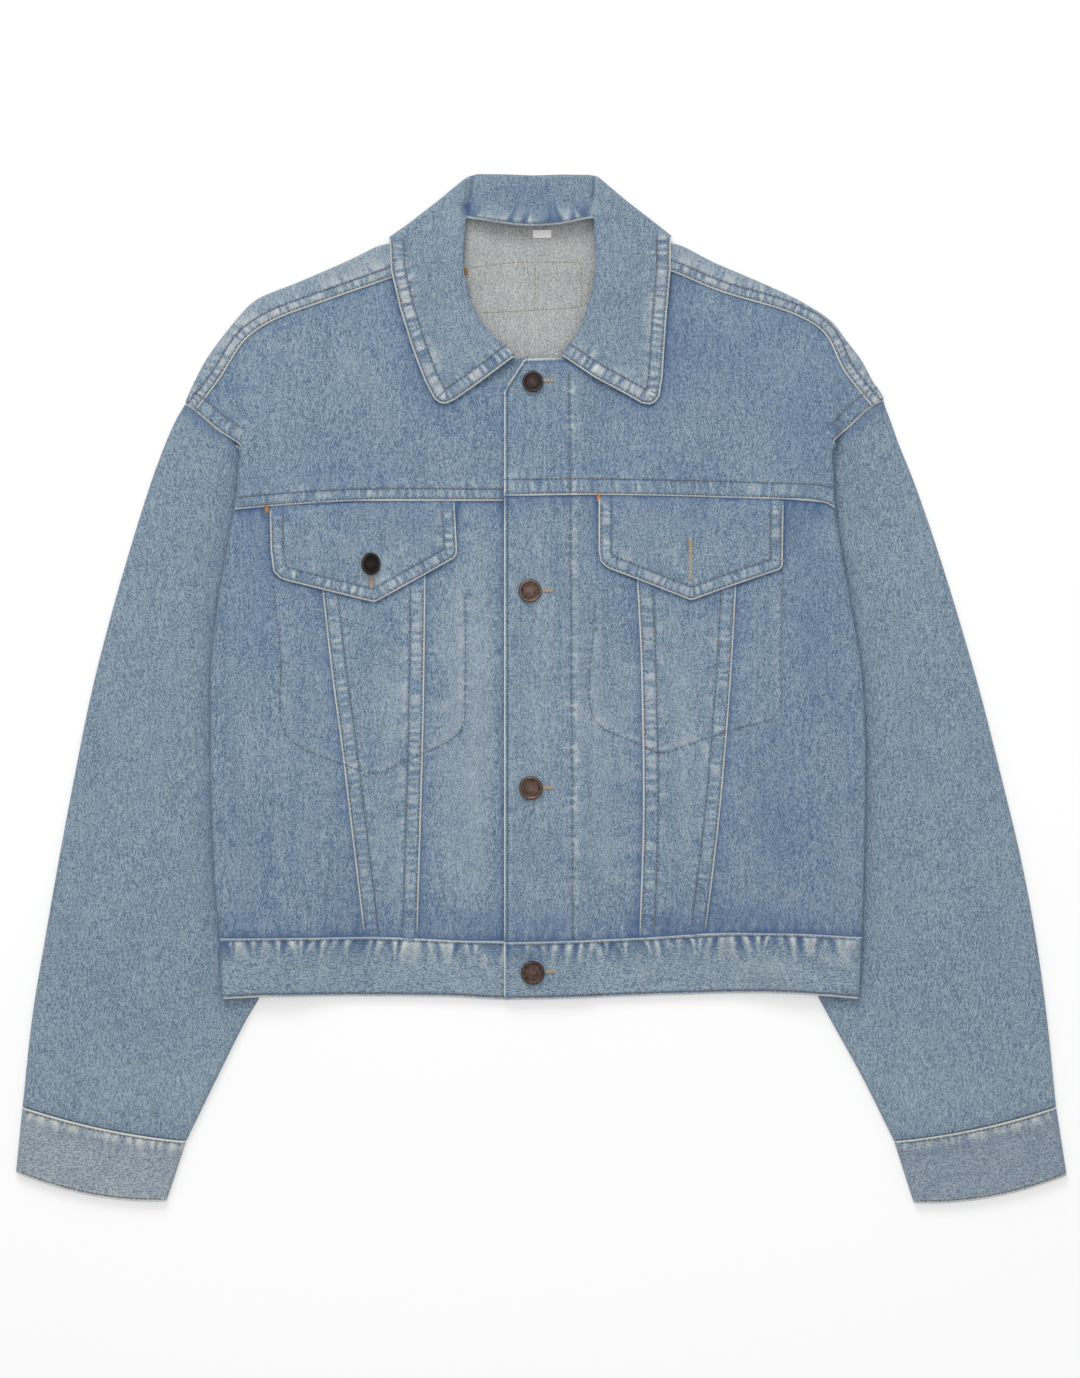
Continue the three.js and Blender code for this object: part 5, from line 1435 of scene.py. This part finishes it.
for side in SIDES:
    edge_line = even_line(FLAPS[side], 2.5)
    for by in (FIRST_ROW, FLAP_BAND):
        top_rows.append(row(beside(even_line(edge_line, 5)[1:-1], by), flap_patches[side]))
for line in (leaf_west, leaf_east):
    for spacing, by in ((4, 1.8), (6, LEAF_BAND)):
        top_rows.append(row(part_of(beside(even_line(line, spacing), by), *BELOW_TOP, 1), front_collar))
top_rows.append(row(beside(even_line(stand_foot, 5), 2.0)[1:-1], front_collar))
for side, way in SIDES.items():
    shares = np.linspace(0.03, 0.97, 40)[:, None]
    cuff = CUFFS[side]
    seam_points = bowed(cuff["seam_outer"], cuff["seam_inner"], CUFF_SEAM_BOW)(shares)
    end_points = bowed(cuff["end_outer"], cuff["end_inner"], CUFF_END_BOW)(shares)
    on_cuff = {"face": lambda x, y: x * 0 + FLAT, "seams": [
        (seam_points, way, "top", CUFF_SEAM_BAND, 211 + way, 0.9),
        (end_points, -way, "top", CUFF_END_BAND, 215 + way, 0.25)]}
    for line, by in ((seam_points, 2.0), (end_points, -2.2)):
        top_rows.append(row(beside(line, way * by), on_cuff))
under_rows = [row(part_of(beside(back_yoke_line, by), -212, 203), yoke_patches[0]) for by in (1.8, BACK_BAND)]
under_rows += [row(part_of(beside(line, by), -222, 220), band_patches[2])
               for line, by in ((back_waist_line, -WAIST_ROW), (hem_line, HEM_ROW))]
under_rows.append(row(beside(even_line(fall_line, 6), BACK_BAND)[2:-2], fall_collar))
stitched("topstitching", top_rows, tan_thread)
stitched("under_stitching", under_rows, tan_thread)

# Close stitches: bar tacks, buttonholes and the box sewn inside the back neck.
TACK_PITCH = 0.75
TACK_THREAD = 0.95
TACK_OVERLAP = 1.25
BOX_THREAD = 0.6
inside_neck = {"face": lambda x, y: back_outside(x, y) + ONE_LAYER, "seams": []}


def tack(x, y, length, width, patch, up=1):
    """A bar tack or buttonhole: stitches set side by side along a short line, which runs up the
    garment if up is 1 and across it if up is 0."""
    count = int(length / TACK_PITCH)
    rows = []
    for step in (np.arange(count) - (count - 1) / 2) * TACK_PITCH:
        middle = np.array([x + step * (1 - up), y + step * up])
        half = np.array([width / 2 * up, width / 2 * (1 - up)])
        line = np.array([middle - half, middle + half])
        rows.append((line, patch, TACK_THREAD, width, width * TACK_OVERLAP))
    return rows


# Tacks: place, length and width of the bar, and the patch it is on. Then whether it runs up.
ORANGE_TACKS = [(-192, 126.5, 5.5, 2.6, front_panels["west", "yoke"]),
                (40.2, 134.5, 5.5, 2.8, front_panels["east", "yoke"]),
                (-53.0, 293.5, 4.5, 2.6, inside_neck)]
BUTTONHOLES = [(104.3, 92, 29, 2.4, flap_patches["east"], 1),
               (-119.0, 75.5, 9, 2.6, flap_patches["west"], 1),
               (4.6, 216.5, 9.5, 2.2, front_panels["east", "yoke"], 0),
               (4.4, 69.6, 8, 2.2, front_panels["east", "inner"], 0),
               (4.6, -68.4, 8, 2.2, front_panels["east", "inner"], 0),
               (6.2, -197.2, 7, 2.2, band_patches[1], 0)]
NECK_BOX = [[(-53.5, 295.5), (-20, 299.8), (27.6, 300.0)], [(27.6, 300.0), (27.8, 268.8)],
            [(27.8, 268.8), (-10, 266.4), (-42, 264.8)], [(-4.6, 299.6), (-4.8, 267)]]
orange_rows = [made for bar in ORANGE_TACKS for made in tack(*bar)]
hole_rows = [made for bar in BUTTONHOLES for made in tack(*bar)]
box_rows = [row(smooth_line(line, 4), inside_neck, BOX_THREAD) for line in NECK_BOX]
stitched("orange_stitching", orange_rows, orange_thread)
stitched("neck_box_stitching", box_rows, straw_thread)
stitched("buttonhole_stitching", hole_rows, straw_thread)

# The small blank tab inside the back neck: its points, and how its sewn ends dip.
LABEL_SPACING = 1.2
LABEL_RINGS = (0.2, 0.5)
LABEL_STEP = 0.6
LABEL_DROOP = 0.25
LABEL_DROOP_REACH = 0.5
half_width, half_depth = LABEL["width"] / 2, LABEL["depth"] / 2
label_ring = np.array([(-half_width, -half_depth), (half_width, -half_depth), (half_width, half_depth),
                       (-half_width, half_depth)]) + [LABEL["x"], LABEL["y"]]
flat, triangles = filled(label_ring, LABEL_SPACING, LABEL_RINGS, LABEL_STEP)
level = back_outside(flat[:, 0], flat[:, 1]) + ONE_LAYER + LABEL["thickness"]
in_from_end = np.abs(np.abs(flat[:, 0] - LABEL["x"]) - half_width)
level = level - LABEL_DROOP * np.exp(-in_from_end / LABEL_DROOP_REACH)
label = mesh_of("neck_label_cloth", np.column_stack([flat, level]), triangles, np.zeros(len(flat)),
                [label_cloth])
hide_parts("neck_label")
thicken(label, LABEL_SHELL)


# The pale floor glows a little, which evens out the soft shadows.
FLOOR_REACH = 4
FLOOR_TONE = 0.55
FLOOR_GLOW = 0.36
floor_mesh = bpy.data.meshes.new("floor")
floor_corners = [(x * FLOOR_REACH, y * FLOOR_REACH, 0) for x, y in ((-1, -1), (1, -1), (1, 1), (-1, 1))]
floor_mesh.from_pydata(floor_corners, [], [(0, 1, 2, 3)])
floor = bpy.data.objects.new("floor", floor_mesh)
bpy.context.collection.objects.link(floor)
floor_material, _, floor_shader = new_material("pale floor", 0.95)
floor_shader.inputs["Base Color"].default_value = (FLOOR_TONE, FLOOR_TONE, FLOOR_TONE, 1)
floor_shader.inputs["Emission Color"].default_value = (1, 1, 1, 1)
floor_shader.inputs["Emission Strength"].default_value = FLOOR_GLOW
floor_mesh.materials.append(floor_material)

# Square soft lights that point at the middle of the garment: place, size in metres, and watts.
LIGHTS = {"light north": ((-0.5, 1.9, 1.8), 1.3, 36), "light above": ((0.2, 0.0, 2.7), 2.4, 30)}
SKY_STRENGTH = 0.54
for name, (place, size, power) in LIGHTS.items():
    data = bpy.data.lights.new(name, "AREA")
    data.shape = "SQUARE"
    data.size = size
    data.energy = power
    lamp = bpy.data.objects.new(name, data)
    lamp.location = place
    lamp.rotation_mode = "QUATERNION"
    lamp.rotation_quaternion = (-Vector(place)).to_track_quat("-Z", "Y")
    bpy.context.collection.objects.link(lamp)

world = bpy.data.worlds.new("soft sky")
world.use_nodes = True
sky = world.node_tree.nodes["Background"]
sky.inputs["Color"].default_value = (1, 1, 1, 1)
sky.inputs["Strength"].default_value = SKY_STRENGTH
bpy.context.scene.world = world
bpy.context.scene.view_settings.view_transform = "Standard"

# The camera looks straight down. Its frame is as high as the photo's at the garment's upper face.
CAMERA_PLACE = (-0.00105, 0.0007, 2.4)
FACE_HEIGHT = 0.008
FRAME_HEIGHT = 0.9646
SENSOR = 36
camera_data = bpy.data.cameras.new("camera")
camera_data.sensor_width = SENSOR
camera_data.lens = SENSOR * (CAMERA_PLACE[2] - FACE_HEIGHT) / FRAME_HEIGHT
camera = bpy.data.objects.new("camera", camera_data)
camera.location = CAMERA_PLACE
bpy.context.collection.objects.link(camera)
bpy.context.scene.camera = camera
